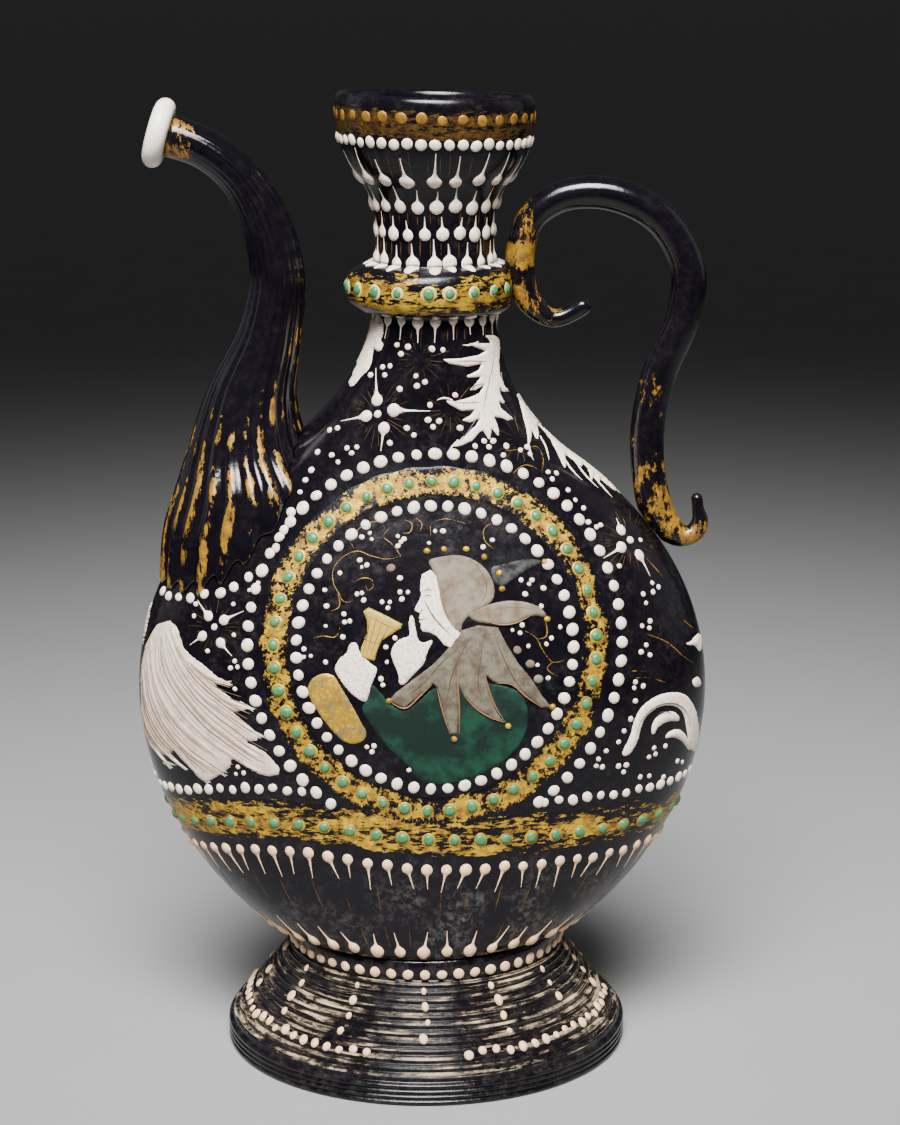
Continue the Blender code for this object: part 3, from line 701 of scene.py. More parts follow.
def bezier(start, start_handle, end_handle, end, steps):
    """Points of one cubic curve, with both ends."""
    t = np.linspace(0.0, 1.0, steps + 1)[:, None]
    s = 1.0 - t
    corners = [np.array(corner) for corner in (start, start_handle, end_handle, end)]
    return s**3 * corners[0] + 3 * s * s * t * corners[1] + 3 * s * t * t * corners[2] + t**3 * corners[3]


def smooth_course(points, steps):
    """A smooth curve through all the points, evenly stepped along its length."""
    points = np.array(points, dtype=float)
    count = len(points)
    chord = np.maximum(np.linalg.norm(np.diff(points[:, :2], axis=0), axis=1), 1e-6)
    knots = np.concatenate(([0.0], np.cumsum(chord)))
    slopes = np.empty_like(points)
    rates = np.diff(points, axis=0) / chord[:, None]
    weighted = rates[:-1] * chord[1:, None] + rates[1:] * chord[:-1, None]
    slopes[1:-1] = weighted / (chord[:-1] + chord[1:])[:, None]
    slopes[0] = 1.5 * rates[0] - 0.5 * slopes[min(1, count - 1)] if count > 2 else rates[0]
    slopes[-1] = 1.5 * rates[-1] - 0.5 * slopes[-2] if count > 2 else rates[-1]
    places = np.linspace(0.0, knots[-1], steps + 1)
    section = np.clip(np.searchsorted(knots, places, side="right") - 1, 0, count - 2)
    width = chord[section][:, None]
    t = ((places - knots[section]) / chord[section])[:, None]
    return (
        (2 * t**3 - 3 * t**2 + 1) * points[section]
        + (t**3 - 2 * t**2 + t) * width * slopes[section]
        + (3 * t**2 - 2 * t**3) * points[section + 1]
        + (t**3 - t**2) * width * slopes[section + 1]
    )


def smooth_step(value):
    value = np.clip(value, 0.0, 1.0)
    return value * value * (3.0 - 2.0 * value)


def unit(vectors):
    return vectors / np.maximum(np.linalg.norm(vectors, axis=-1, keepdims=True), 1e-12)


# Heights that the rises add up to
BODY_BASE = FOOT_HEIGHT + GAP
BELLY_HEIGHT = BODY_BASE + BOWL_RISE
SHOULDER_HEIGHT = BELLY_HEIGHT + SHOULDER_RISE
NECK_HEIGHT = SHOULDER_HEIGHT + NECK_SWEEP_RISE
KNOP_HEIGHT = NECK_HEIGHT + KNOP_RISE
THROAT_HEIGHT = KNOP_HEIGHT + THROAT_RISE
CUP_TURN_HEIGHT = THROAT_HEIGHT + CUP_TURN_RISE
CUP_HEIGHT = CUP_TURN_HEIGHT + CUP_RISE
RIM_TOP = CUP_HEIGHT + RIM_HEIGHT


def neck_curve(steps):
    """Neck, throat and cup as (radius, height) rows, without the knop and the rim."""
    straight = bezier(
        (NECK_RADIUS, NECK_HEIGHT),
        (NECK_RADIUS, NECK_HEIGHT + KNOP_RISE),
        (THROAT_RADIUS, THROAT_HEIGHT - KNOP_RISE),
        (THROAT_RADIUS, THROAT_HEIGHT),
        steps,
    )
    flare = bezier(
        (THROAT_RADIUS, THROAT_HEIGHT),
        (THROAT_RADIUS, THROAT_HEIGHT + THROAT_LENGTH),
        (CUP_TURN_RADIUS - CUP_TURN_SLOPE * CUP_TURN, CUP_TURN_HEIGHT - CUP_TURN),
        (CUP_TURN_RADIUS, CUP_TURN_HEIGHT),
        steps,
    )
    cup = bezier(
        (CUP_TURN_RADIUS, CUP_TURN_HEIGHT),
        (CUP_TURN_RADIUS + CUP_TURN_SLOPE * CUP_TURN, CUP_TURN_HEIGHT + CUP_TURN),
        (CUP_RADIUS, CUP_HEIGHT - CUP_FULLNESS),
        (CUP_RADIUS, CUP_HEIGHT),
        steps,
    )
    return np.vstack((straight[1:], flare[1:], cup[1:]))


def width_curve(bowl_steps, shoulder_steps, sweep_steps, neck_steps):
    """The vessel's half width, from its base to the cup's edge, as (half width, height) rows."""
    bowl = bezier(
        (BASE_RADIUS, BODY_BASE),
        (BASE_RADIUS + BASE_SPREAD, BODY_BASE),
        (BELLY_HALF_WIDTH, BELLY_HEIGHT - BOWL_FULLNESS),
        (BELLY_HALF_WIDTH, BELLY_HEIGHT),
        bowl_steps,
    )
    turn = (SHOULDER_HALF_WIDTH, SHOULDER_HEIGHT)
    shoulder = bezier(
        (BELLY_HALF_WIDTH, BELLY_HEIGHT),
        (BELLY_HALF_WIDTH, BELLY_HEIGHT + SHOULDER_FULLNESS),
        (SHOULDER_HALF_WIDTH + SHOULDER_SLOPE * SHOULDER_TURN, SHOULDER_HEIGHT - SHOULDER_TURN),
        turn,
        shoulder_steps,
    )
    sweep = bezier(
        turn,
        (SHOULDER_HALF_WIDTH - SHOULDER_SLOPE * NECK_TURN, SHOULDER_HEIGHT + NECK_TURN),
        (NECK_RADIUS, NECK_HEIGHT - NECK_SWEEP),
        (NECK_RADIUS, NECK_HEIGHT),
        sweep_steps,
    )
    return np.vstack((bowl, shoulder[1:], sweep[1:], neck_curve(neck_steps)))


def depth_curve(steps):
    """The vessel's half depth: round at the foot, flattened at the belly, round again from the neck up."""
    bowl = bezier(
        (BASE_RADIUS, BODY_BASE),
        (BASE_RADIUS + BASE_SPREAD_DEPTH, BODY_BASE),
        (BELLY_HALF_DEPTH, BELLY_HEIGHT - BOWL_FULLNESS),
        (BELLY_HALF_DEPTH, BELLY_HEIGHT),
        steps,
    )
    taper = bezier(
        (BELLY_HALF_DEPTH, BELLY_HEIGHT),
        (BELLY_HALF_DEPTH, BELLY_HEIGHT + DEPTH_FULLNESS),
        (NECK_RADIUS, NECK_HEIGHT - DEPTH_SWEEP),
        (NECK_RADIUS, NECK_HEIGHT),
        steps,
    )
    return np.vstack((bowl, taper[1:], neck_curve(steps)))


def drift(heights):
    """How far the vessel's axis leans towards the handle at a height."""
    start = BELLY_HEIGHT + DRIFT_START
    return BODY_DRIFT + (NECK_DRIFT - BODY_DRIFT) * smooth_step((heights - start) / (NECK_HEIGHT - start))


def knop_swell(heights, plain):
    """The half width at a height once the knop is on the neck."""
    across = np.clip(np.abs(heights - KNOP_HEIGHT) / KNOP_HALF_HEIGHT, 0.0, 1.0)
    bulge = (1.0 - across**KNOP_SQUARENESS) ** (1.0 / KNOP_SQUARENESS)
    return plain + (KNOP_RADIUS - plain) * bulge


def knop_drift(heights):
    across = np.clip(1.0 - np.abs(heights - KNOP_HEIGHT) / KNOP_HALF_HEIGHT, 0.0, 1.0)
    return (KNOP_DRIFT - NECK_DRIFT) * smooth_step(across * 2.0)


FINE_WIDTH = width_curve(80, 80, 60, 40)
FINE_DEPTH = depth_curve(80)


def envelope(heights, clearance=0.0):
    """Half width, half depth and centre of the outside at each height, grown by a clearance."""
    width = knop_swell(heights, np.interp(heights, FINE_WIDTH[:, 1], FINE_WIDTH[:, 0]))
    depth = knop_swell(heights, np.interp(heights, FINE_DEPTH[:, 1], FINE_DEPTH[:, 0]))
    if clearance:
        above, below = envelope(heights + SLOPE_STEP), envelope(heights - SLOPE_STEP)
        width = width + clearance * np.hypot(1.0, (above[0] - below[0]) / (2.0 * SLOPE_STEP))
        depth = depth + clearance * np.hypot(1.0, (above[1] - below[1]) / (2.0 * SLOPE_STEP))
    return width, depth, drift(heights) + knop_drift(heights)


def inside_level(points, clearance=0.0):
    """Below one where a point is inside the vessel's outside, grown by the clearance; one on it."""
    width, depth, centre = envelope(points[..., 2], clearance)
    level = np.hypot((points[..., 0] - centre) / width, points[..., 1] / depth)
    return np.where(points[..., 2] < BODY_BASE, np.inf, level)


def surface(angle, height):
    """Points on the vessel's outside at these angles and heights, and the directions square to it."""
    angle, height = np.broadcast_arrays(np.asarray(angle, float), np.asarray(height, float))
    width, depth, centre = envelope(height)
    above, below = envelope(height + SLOPE_STEP), envelope(height - SLOPE_STEP)
    width_slope, depth_slope, centre_slope = [
        (high - low) / (2.0 * SLOPE_STEP) for high, low in zip(above, below)
    ]
    along, out = np.cos(angle), np.sin(angle)
    points = np.stack((centre + width * along, depth * out, height), axis=-1)
    rise = -width * depth_slope * out**2 - depth * along * (centre_slope + width_slope * along)
    return points, unit(np.stack((depth * along, width * out, rise), axis=-1))


def settle(points):
    """The points brought on to the vessel's outside along their level, and the directions square to it."""
    height = np.clip(points[..., 2], BODY_BASE, CUP_HEIGHT)
    width, depth, centre = envelope(height)
    angle = np.arctan2(points[..., 1] / depth, (points[..., 0] - centre) / width)
    return surface(angle, height)


def settle_on_foot(points):
    """The same points brought on to the foot's flare, and the directions square to it."""
    flare_high = FOOT_HEIGHT - COLLAR_HEIGHT
    share = np.clip((flare_high - points[..., 2]) / (flare_high - FOOT_EDGE_HEIGHT), 0.001, 1.0)
    spread = FOOT_RADIUS - FOOT_EDGE_ROUNDING - COLLAR_RADIUS
    radius = COLLAR_RADIUS + spread * share**FLARE_POWER
    slope = spread * FLARE_POWER * share ** (FLARE_POWER - 1.0) / (flare_high - FOOT_EDGE_HEIGHT)
    angle = np.arctan2(points[..., 1], points[..., 0])
    height = np.minimum(points[..., 2], FOOT_HEIGHT)
    on_flare = np.stack((radius * np.cos(angle), radius * np.sin(angle), height), axis=-1)
    return on_flare, unit(np.stack((np.cos(angle), np.sin(angle), slope), axis=-1))


def tilt_rim(points):
    """Lean the cup so that its rim is lower on the handle's side."""
    weight = smooth_step((points[..., 2] - THROAT_HEIGHT) / (RIM_TOP - THROAT_HEIGHT))
    points = points.copy()
    points[..., 2] -= weight * math.tan(RIM_TILT) * (points[..., 0] - NECK_DRIFT)
    return points


def seen(pixels):
    """Where sight lines through the picture's pixels meet the glass, or pass nearest to it."""
    pixels = np.array(pixels, dtype=float).reshape(-1, 2)
    right = (pixels[:, 0] - PICTURE_SIZE[0] / 2.0) / FOCAL_PIXELS
    up = (PICTURE_SIZE[1] / 2.0 - pixels[:, 1]) / FOCAL_PIXELS
    cosine, sine = math.cos(CAMERA_PITCH), math.sin(CAMERA_PITCH)
    lines = np.column_stack((right, cosine + up * sine, up * cosine - sine))
    eye = np.array((CAMERA_SIDE, -CAMERA_DISTANCE, CAMERA_HEIGHT))
    depths = np.linspace(-FOOT_RADIUS, 0.0, SIGHT_STEPS)
    reach = (CAMERA_DISTANCE + depths)[:, None] / lines[None, :, 1]
    places = eye + reach[..., None] * lines
    level = inside_level(places)
    hit = level < 1.0
    nearest = np.where(hit.any(axis=0), np.argmax(hit, axis=0), np.argmin(level, axis=0))
    return places[nearest, np.arange(len(pixels))]


def ring(width, depth, centre, height, sides):
    """One level ring of points, counter-clockwise from +X as seen from above."""
    angle = np.arange(sides) * (2.0 * math.pi / sides)
    return np.column_stack((
        centre + width * np.cos(angle),
        depth * np.sin(angle),
        np.full(sides, height),
    ))


def grid_faces(rows, columns, round_columns=False, round_rows=False):
    """The quads of a grid of points, facing the way that its columns and then its rows turn."""
    row = np.arange(rows if round_rows else rows - 1)[:, None]
    column = np.arange(columns if round_columns else columns - 1)[None, :]
    above = (row + 1) % rows
    after = (column + 1) % columns
    quads = (row * columns + column, row * columns + after, above * columns + after, above * columns + column)
    return np.stack(np.broadcast_arrays(*quads), axis=-1).reshape(-1, 4)


def place_in_scene(name, data):
    thing = bpy.data.objects.new(name, data)
    bpy.context.scene.collection.objects.link(thing)
    return thing


def make_piece(name, points, faces, material, node=None, marks=None):
    """One mesh that rides on the ewer, with its finish and marks for each of its points."""
    data = bpy.data.meshes.new(name)
    data.from_pydata(np.asarray(points).tolist(), [], faces)
    data.materials.append(material)
    data.shade_smooth()
    for mark, values in (marks or {}).items():
        layer = data.attributes.new(mark, "FLOAT", "POINT")
        layer.data.foreach_set("value", np.asarray(values, dtype=np.float32).ravel())
    piece = place_in_scene(name, data)
    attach(piece, "root")
    if node:
        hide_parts(node)


def tube_faces(rows, sides):
    """Faces of a tube of rings with its ends closed by fans on two more points."""
    faces = grid_faces(rows, sides, round_columns=True).tolist()
    index = np.arange(sides)
    pairs = list(zip(index.tolist(), ((index + 1) % sides).tolist()))
    top = (rows - 1) * sides
    faces += [(rows * sides, after, now) for now, after in pairs]
    faces += [(top + now, top + after, rows * sides + 1) for now, after in pairs]
    return faces


class Paint:
    """A material under construction: its shader, and short ways of adding nodes."""

    def __init__(self, name, colour, roughness, gloss=0.4):
        self.material = bpy.data.materials.new(name)
        self.material.use_nodes = True
        self.tree = self.material.node_tree
        self.shader = self.tree.nodes["Principled BSDF"]
        self.set("Base Color", (*colour, 1.0))
        self.set("Roughness", roughness)
        self.set("Metallic", 0.0)
        self.set("Specular IOR Level", gloss)
        self.place = self.node("ShaderNodeTexCoord").outputs["Object"]

    def set(self, socket, value):
        self.shader.inputs[socket].default_value = value

    def node(self, kind, links=None, **settings):
        node = self.tree.nodes.new(kind)
        for name, value in settings.items():
            setattr(node, name, value)
        for socket, value in (links or {}).items():
            if isinstance(value, bpy.types.NodeSocket):
                self.tree.links.new(value, node.inputs[socket])
            else:
                node.inputs[socket].default_value = value
        return node

    def drive(self, socket, output):
        self.tree.links.new(output, self.shader.inputs[socket])

    def noise(self, size, detail=4.0, roughness=0.55, stretch=None):
        """Cloudy values from 0 to 1 with patches of about this size in metres."""
        place = self.place
        if stretch:
            place = self.node("ShaderNodeMapping", {"Vector": place, "Scale": stretch}).outputs["Vector"]
        links = {"Vector": place, "Scale": 1.0 / size, "Detail": detail, "Roughness": roughness}
        return self.node("ShaderNodeTexNoise", links).outputs["Fac"]

    def cloud(self, size, detail, roughness, low, high, start=0.0, end=1.0, stretch=None):
        """Clouds of noise, cut at a low and a high value and mapped from start to end."""
        return self.span(self.noise(size, detail, roughness, stretch), low, high, start, end)

    def mark(self, name):
        return self.node("ShaderNodeAttribute", attribute_name=name).outputs["Fac"]

    def math(self, operation, first, second=0.0):
        return self.node("ShaderNodeMath", {0: first, 1: second}, operation=operation).outputs[0]

    def times(self, first, second):
        return self.math("MULTIPLY", first, second)

    def plus(self, first, second):
        return self.math("ADD", first, second)

    def span(self, value, low, high, start=0.0, end=1.0):
        """The value mapped from low..high to start..end, and held there."""
        links = {"Value": value, "From Min": low, "From Max": high, "To Min": start, "To Max": end}
        return self.node("ShaderNodeMapRange", links, clamp=True).outputs["Result"]

    def blend(self, share, first, second):
        """One colour fading into another; each is a colour or an output."""
        first, second = [
            colour if isinstance(colour, bpy.types.NodeSocket) else (*colour, 1.0)
            for colour in (first, second)
        ]
        node = self.tree.nodes.new("ShaderNodeMix")
        node.data_type = "RGBA"
        for socket, value in ((node.inputs[0], share), (node.inputs[6], first), (node.inputs[7], second)):
            if isinstance(value, bpy.types.NodeSocket):
                self.tree.links.new(value, socket)
            else:
                socket.default_value = value
        return node.outputs[2]

    def bump(self, height, distance):
        links = {"Height": height, "Distance": distance, "Strength": 1.0}
        self.drive("Normal", self.node("ShaderNodeBump", links).outputs["Normal"])

    def grain(self, size, detail, depth):
        self.bump(self.noise(size, detail), depth)


# Colours, as the picture shows them
GLASS = (0.0028, 0.0021, 0.0037)
GLASS_GLOSS = 0.26
GLASS_HAZE = (0.0078, 0.0066, 0.0094)
WEATHERED = (0.096, 0.088, 0.080)
ABRASION = (0.50, 0.385, 0.245)
FOOT_FILM = (0.022, 0.0195, 0.0175)
GOLD = (0.45, 0.265, 0.014)
GOLD_PALE = (0.60, 0.41, 0.030)
GOLD_ROUGHNESS = 0.42
GOLD_BROWN = (0.13, 0.062, 0.014)
OCHRE = (0.30, 0.145, 0.016)
GLASS_GOLD = (0.30, 0.150, 0.010)
GLASS_GOLD_PALE = (0.46, 0.27, 0.016)
BAND_DARK = (0.026, 0.012, 0.005)
BAND_BROWN = (0.062, 0.032, 0.008)
BAND_PALE = (0.17, 0.092, 0.013)
WHITE = (0.82, 0.715, 0.60)
WHITE_WARM = (0.62, 0.46, 0.32)
LIP_WHITE = (0.95, 0.90, 0.80)
WING_WHITE = (0.62, 0.515, 0.415)
WING_WARM = (0.40, 0.28, 0.185)
SPECKLE = (0.30, 0.22, 0.155)
PEACH = (0.78, 0.53, 0.31)
PEACH_AGED = (0.52, 0.31, 0.17)
GREEN = (0.030, 0.150, 0.058)
GREEN_PALE = (0.085, 0.21, 0.075)
CREAM = (0.46, 0.37, 0.07)
COAT_BRIGHT = (0.0085, 0.040, 0.0235)
COAT_DARK = (0.0046, 0.0125, 0.0095)
HOOD_GREY = (0.165, 0.144, 0.104)
HOOD_BROWN = (0.112, 0.078, 0.050)
THIN_GREY = (0.034, 0.036, 0.033)
COLLAR_GREY = (0.120, 0.108, 0.076)
COLLAR_BROWN = (0.066, 0.049, 0.033)
GOBLET_GOLD = (0.36, 0.25, 0.030)
SLEEVE_GOLD = (0.34, 0.19, 0.014)
SLEEVE_OLIVE = (0.20, 0.12, 0.026)
LINE_COLOURS = ((0.020, 0.017, 0.018), (0.035, 0.030, 0.030))
BROWN_COLOURS = ((0.058, 0.034, 0.019), (0.10, 0.062, 0.036))
TAN_COLOURS = ((0.22, 0.10, 0.04), (0.13, 0.075, 0.038))
FLOOR = (0.25, 0.245, 0.245)

# Clouds in the finishes: patch size, detail, roughness, and which values count as none and as full
HAZE = (0.011, 8.0, 0.7, 0.48, 0.80)
CRUST_PATCHES = (0.014, 5.0, 0.6, 0.40, 0.62)
CRUST_SPECKS = (0.0022, 9.0, 0.76, 0.47, 0.66)
WORN_FLECKS = (0.0024, 9.0, 0.78, 0.36, 0.62)
WORN_PATCHES = (0.0085, 4.0, 0.6, 0.38, 0.60)
LEAF_SHADES = (0.0030, 7.0, 0.68, 0.36, 0.58)
LEAF_GLINTS = (0.0009, 3.0, 0.55, 0.48, 0.75)
RUBBED_LINES = (0.0030, 9.0, 0.80, 0.505, 0.578)
RUBBED_PATCHES = (0.011, 7.0, 0.72, 0.43, 0.57)
FILM = (0.0035, 9.0, 0.74, 0.46, 0.70)
FLOOR_CLOUDS = (0.05, 4.0, 0.55, 0.3, 0.7)
FLOOR_ROUGHNESS = (0.70, 0.82)
LINE_STRETCH = (0.13, 0.13, 4.0)

# The fine unevenness of each surface: its size, detail and depth
FOOT_GRAIN = (0.0015, 5.0, 0.00008)
ENAMEL_GRAIN = (0.0007, 4.0, 0.00006)
GOLD_GRAIN = (0.0008, 4.0, 0.00007)

# How much of each finish shows
HAZE_SHARE = 0.45
CRUST_ROUGHNESS = 0.45
WORN_LEAST = 0.30
WORN_MOST = 1.15
WORN_EDGE = (0.40, 0.47)
FLECK_PATCHES = 0.55
FLECK_EDGE_LOSS = 0.15
FLECK_SOFTNESS = 0.03
GOLD_METALLIC = 0.30
GOLD_GROUND_ROUGHNESS = 0.24
ENAMEL_DULLING = 0.22
CREST_RUBBED = (0.62, 0.92)
FILM_ROUGHNESS = (0.14, 0.34)


def gild(paint, base, base_roughness, share, low=GOLD_BROWN, high=GOLD, pale=GOLD_PALE):
    """Lay gold on a finish where the share is near one; the leaf varies from its low to its pale shade."""
    shade = paint.cloud(*LEAF_SHADES)
    leaf = paint.blend(shade, low, paint.blend(paint.cloud(*LEAF_GLINTS), high, pale))
    paint.drive("Base Color", paint.blend(share, base, leaf))
    paint.drive("Metallic", paint.span(share, 0.0, 1.0, 0.0, GOLD_METALLIC))
    if isinstance(base_roughness, bpy.types.NodeSocket):
        ground = paint.times(paint.span(share, 0.0, 1.0, 1.0, 0.0), base_roughness)
        paint.drive("Roughness", paint.plus(ground, paint.span(share, 0.0, 1.0, 0.0, GOLD_ROUGHNESS)))
    else:
        paint.drive("Roughness", paint.span(share, 0.0, 1.0, base_roughness, GOLD_ROUGHNESS))


def dark_glass(name, streak=None, smooth=0.15, dull=0.34, gloss=GLASS_GLOSS):
    """Near-black glass, hazed in patches, and weathered and gilded where its marks say."""
    paint = Paint(name, GLASS, smooth, gloss)
    haze = paint.cloud(*HAZE)
    crust = paint.times(paint.cloud(*CRUST_PATCHES), paint.cloud(*CRUST_SPECKS))
    crust = paint.times(paint.mark("weather"), crust)
    colour = paint.blend(crust, paint.blend(paint.times(haze, HAZE_SHARE), GLASS, GLASS_HAZE), WEATHERED)
    rough = paint.plus(paint.span(haze, 0.0, 1.0, smooth, dull), paint.times(crust, CRUST_ROUGHNESS))
    patches = paint.cloud(*WORN_PATCHES, start=WORN_LEAST, end=WORN_MOST)
    worn = paint.times(paint.cloud(*WORN_FLECKS, stretch=streak), patches)
    share = paint.span(paint.times(paint.mark("gilding"), worn), *WORN_EDGE)
    gild(paint, colour, rough, share, GOLD_BROWN, GLASS_GOLD, GLASS_GOLD_PALE)
    paint.bump(paint.plus(paint.noise(0.004, 3.0), paint.times(crust, 0.5)), 0.00008)
    return paint.material


def ribbed_glass(name):
    """The same glass, rubbed to cream along the crests of its ribs and filmed between them."""
    paint = Paint(name, GLASS, 0.2, GLASS_GLOSS)
    wear = paint.times(paint.cloud(*RUBBED_LINES, stretch=LINE_STRETCH), paint.cloud(*RUBBED_PATCHES))
    rubbed = paint.times(wear, paint.span(paint.mark("crest"), *CREST_RUBBED))
    film = paint.cloud(*FILM)
    paint.drive("Base Color", paint.blend(rubbed, paint.blend(film, GLASS, FOOT_FILM), ABRASION))
    paint.drive("Roughness", paint.plus(paint.span(film, 0.0, 1.0, *FILM_ROUGHNESS), rubbed))
    paint.grain(*FOOT_GRAIN)
    return paint.material


def enamel(name, colour, aged, roughness=0.34, patches=0.0013, low=0.45, high=0.70, gloss=0.4):
    """Opaque fired enamel: slightly mottled, pitted and satin."""
    paint = Paint(name, colour, roughness, gloss)
    mottle = paint.cloud(patches, 6.0, 0.66, low, high)
    paint.drive("Base Color", paint.blend(mottle, colour, aged))
    paint.drive("Roughness", paint.span(mottle, 0.0, 1.0, roughness, roughness + ENAMEL_DULLING))
    paint.grain(*ENAMEL_GRAIN)
    return paint.material


def gilding(name, loss, base=GLASS, low=GOLD_BROWN, high=GOLD, grain=(1.0, 1.0, 1.0), pale=GOLD_PALE):
    """Fired gold leaf on a ground, rubbed off in flecks and at its edges; a higher loss leaves less of it."""
    paint = Paint(name, GOLD, GOLD_ROUGHNESS, GLASS_GLOSS)
    fine, broad = paint.noise(0.0016, 9.0, 0.76, grain), paint.noise(0.007, 4.0, 0.6, grain)
    flecks = paint.plus(fine, paint.times(broad, FLECK_PATCHES))
    flecks = paint.math("SUBTRACT", flecks, paint.times(paint.mark("edge"), FLECK_EDGE_LOSS))
    gild(paint, base, GOLD_GROUND_ROUGHNESS, paint.span(flecks, loss, loss + FLECK_SOFTNESS), low, high, pale)
    paint.grain(*GOLD_GRAIN)
    return paint.material


def ramp(value, start, length):
    """From 0 to 1 as the value goes over a length from a start."""
    return smooth_step((value - start) / length)


def between(value, rise, fall):
    """1 between a rising and a falling ramp, each a start and a length."""
    return ramp(value, *rise) * (1.0 - ramp(value, *fall))


def arc(radius, height, across, upward, start, end, count):
    """(radius, height) rows along an ellipse round a middle, from one turn to another."""
    return [(radius + across * math.cos(turn), height + upward * math.sin(turn))
            for turn in np.linspace(start, end, count)]


def build_body_glass(material):
    """The vessel's outside, over the rim and down the inside to the floor."""
    heights = width_curve(*BODY_ROWS)[:, 1]
    heights = heights[np.abs(heights - KNOP_HEIGHT) > KNOP_HALF_HEIGHT]
    knop = KNOP_HEIGHT + KNOP_HALF_HEIGHT * np.sin(np.linspace(-QUARTER, QUARTER, KNOP_ROWS))
    heights = np.sort(np.concatenate((heights, knop)))
    width, depth, centre = envelope(heights)
    rings = [ring(width[i], depth[i], centre[i], heights[i], BODY_SIDES) for i in range(len(heights))]
    half_wall = BODY_WALL / 2.0
    edge = arc(CUP_RADIUS - half_wall, CUP_HEIGHT, half_wall, RIM_HEIGHT, 0.0, math.pi, RIM_ROWS)
    rings += [ring(radius, radius, NECK_DRIFT, height, BODY_SIDES) for radius, height in edge[1:-1]]
    widths, depths = inset(FINE_WIDTH, BODY_WALL), inset(FINE_DEPTH, BODY_WALL)
    for height in np.linspace(CUP_HEIGHT, widths[0, 1], INSIDE_ROWS):
        half_width = np.interp(height, widths[:, 1], widths[:, 0])
        half_depth = np.interp(height, depths[:, 1], depths[:, 0])
        rings.append(ring(half_width, half_depth, drift(height), height, BODY_SIDES))
    ends = (rings[0].mean(axis=0), rings[-1].mean(axis=0))
    points = np.vstack((tilt_rim(np.vstack(rings)), ends))
    low = 1.0 - ramp(points[:, 2], *WEATHER_TOP)
    right = between(points[:, 0], *WEATHER_SIDES)
    marks = {
        "weather": WEATHER_ALL + low * (WEATHER_LOW + WEATHER_LOW_RIGHT * right),
        "gilding": np.zeros(len(points)),
    }
    faces = tube_faces(len(rings), BODY_SIDES)
    make_piece("body_glass", points, faces, material, "body", marks)


def inset(curve, wall):
    """A (size, height) curve moved inwards by the wall, square to itself."""
    run = unit(np.gradient(curve, axis=0))
    return curve + wall * np.column_stack((-run[:, 1], run[:, 0]))


def rib_crest(share, count):
    """1 on the crests of the ribs along a slope, and 0 in the grooves between them."""
    return abs(math.sin(math.pi * count * share)) ** RIB_SHARPNESS


def foot_outline():
    """The foot's turned section: rounded ribs up the outside, then down the hollow inside."""
    inner_edge = FOOT_RADIUS - FOOT_EDGE_WIDTH
    flare_high = FOOT_HEIGHT - COLLAR_HEIGHT
    edge_radius = FOOT_RADIUS - FOOT_EDGE_ROUNDING
    edge_top = FOOT_EDGE_HEIGHT - 2.0 * FOOT_EDGE_ROUNDING
    rounding = (FOOT_EDGE_ROUNDING, FOOT_EDGE_ROUNDING)
    outline = [(inner_edge, 0.0), (edge_radius, 0.0)]
    outline += arc(edge_radius, FOOT_EDGE_ROUNDING, *rounding, -QUARTER, 0.0, 6)[1:]
    for share in np.linspace(0.0, 1.0, RIB_STEPS * FOOT_EDGE_RIBS // 2 + 1)[1:-1]:
        sunk = FOOT_EDGE_RIB_DEPTH * (1.0 - abs(math.cos(math.pi * FOOT_EDGE_RIBS * share)) ** RIB_SHARPNESS)
        outline.append((FOOT_RADIUS - sunk, FOOT_EDGE_ROUNDING + (edge_top - FOOT_EDGE_ROUNDING) * share))
    outline += arc(edge_radius, edge_top, *rounding, 0.0, QUARTER, 5)
    steps = RIB_STEPS * RIB_COUNT
    for step in range(steps + 1):
        share = 1.0 - step / steps
        radius = COLLAR_RADIUS + (edge_radius - COLLAR_RADIUS) * share**FLARE_POWER
        height = flare_high + (FOOT_EDGE_HEIGHT - flare_high) * share
        thread = THREAD_DEPTH * (1.0 - math.cos(2.0 * math.pi * RIB_COUNT * THREADS * share)) / 2.0
        sunk = RIB_DEPTH * math.sqrt(0.5) * (1.0 - rib_crest(share, RIB_COUNT)) + thread
        outline.append((radius - sunk, height - sunk))
    half = COLLAR_HEIGHT / 2.0
    outline += arc(COLLAR_RADIUS - RIB_DEPTH, FOOT_HEIGHT - half, RIB_DEPTH, half, -QUARTER, QUARTER, 9)[1:]
    outline.append((BASE_RADIUS - FOOT_WALL, FOOT_HEIGHT))
    for share in np.linspace(0.0, FOOT_HOLLOW_REACH, FOOT_HOLLOW_ROWS):
        radius = COLLAR_RADIUS + (inner_edge - COLLAR_RADIUS) * share**FLARE_POWER - FOOT_WALL
        outline.append((radius, flare_high * (1.0 - share)))
    return outline


def build_foot_glass(material):
    """The foot, with the crests of its ribs marked."""
    outline = foot_outline()
    rings = [ring(radius, radius, 0.0, height, FOOT_SIDES) for radius, height in outline]
    flare_high = FOOT_HEIGHT - COLLAR_HEIGHT
    crest = np.zeros(len(outline))
    for index, (radius, height) in enumerate(outline):
        share = (flare_high - height) / (flare_high - FOOT_EDGE_HEIGHT)
        if 0.0 <= share <= 1.0 and radius > BASE_RADIUS:
            crest[index] = rib_crest(share, RIB_COUNT)
        elif radius > FOOT_RADIUS - FOOT_EDGE_RIB_DEPTH:
            crest[index] = FOOT_EDGE_WEAR * (1.0 - (FOOT_RADIUS - radius) / FOOT_EDGE_RIB_DEPTH)
    faces = grid_faces(len(rings), FOOT_SIDES, round_columns=True, round_rows=True).tolist()
    marks = {"crest": np.repeat(crest, FOOT_SIDES)}
    make_piece("foot_glass", np.vstack(rings), faces, material, "foot", marks)


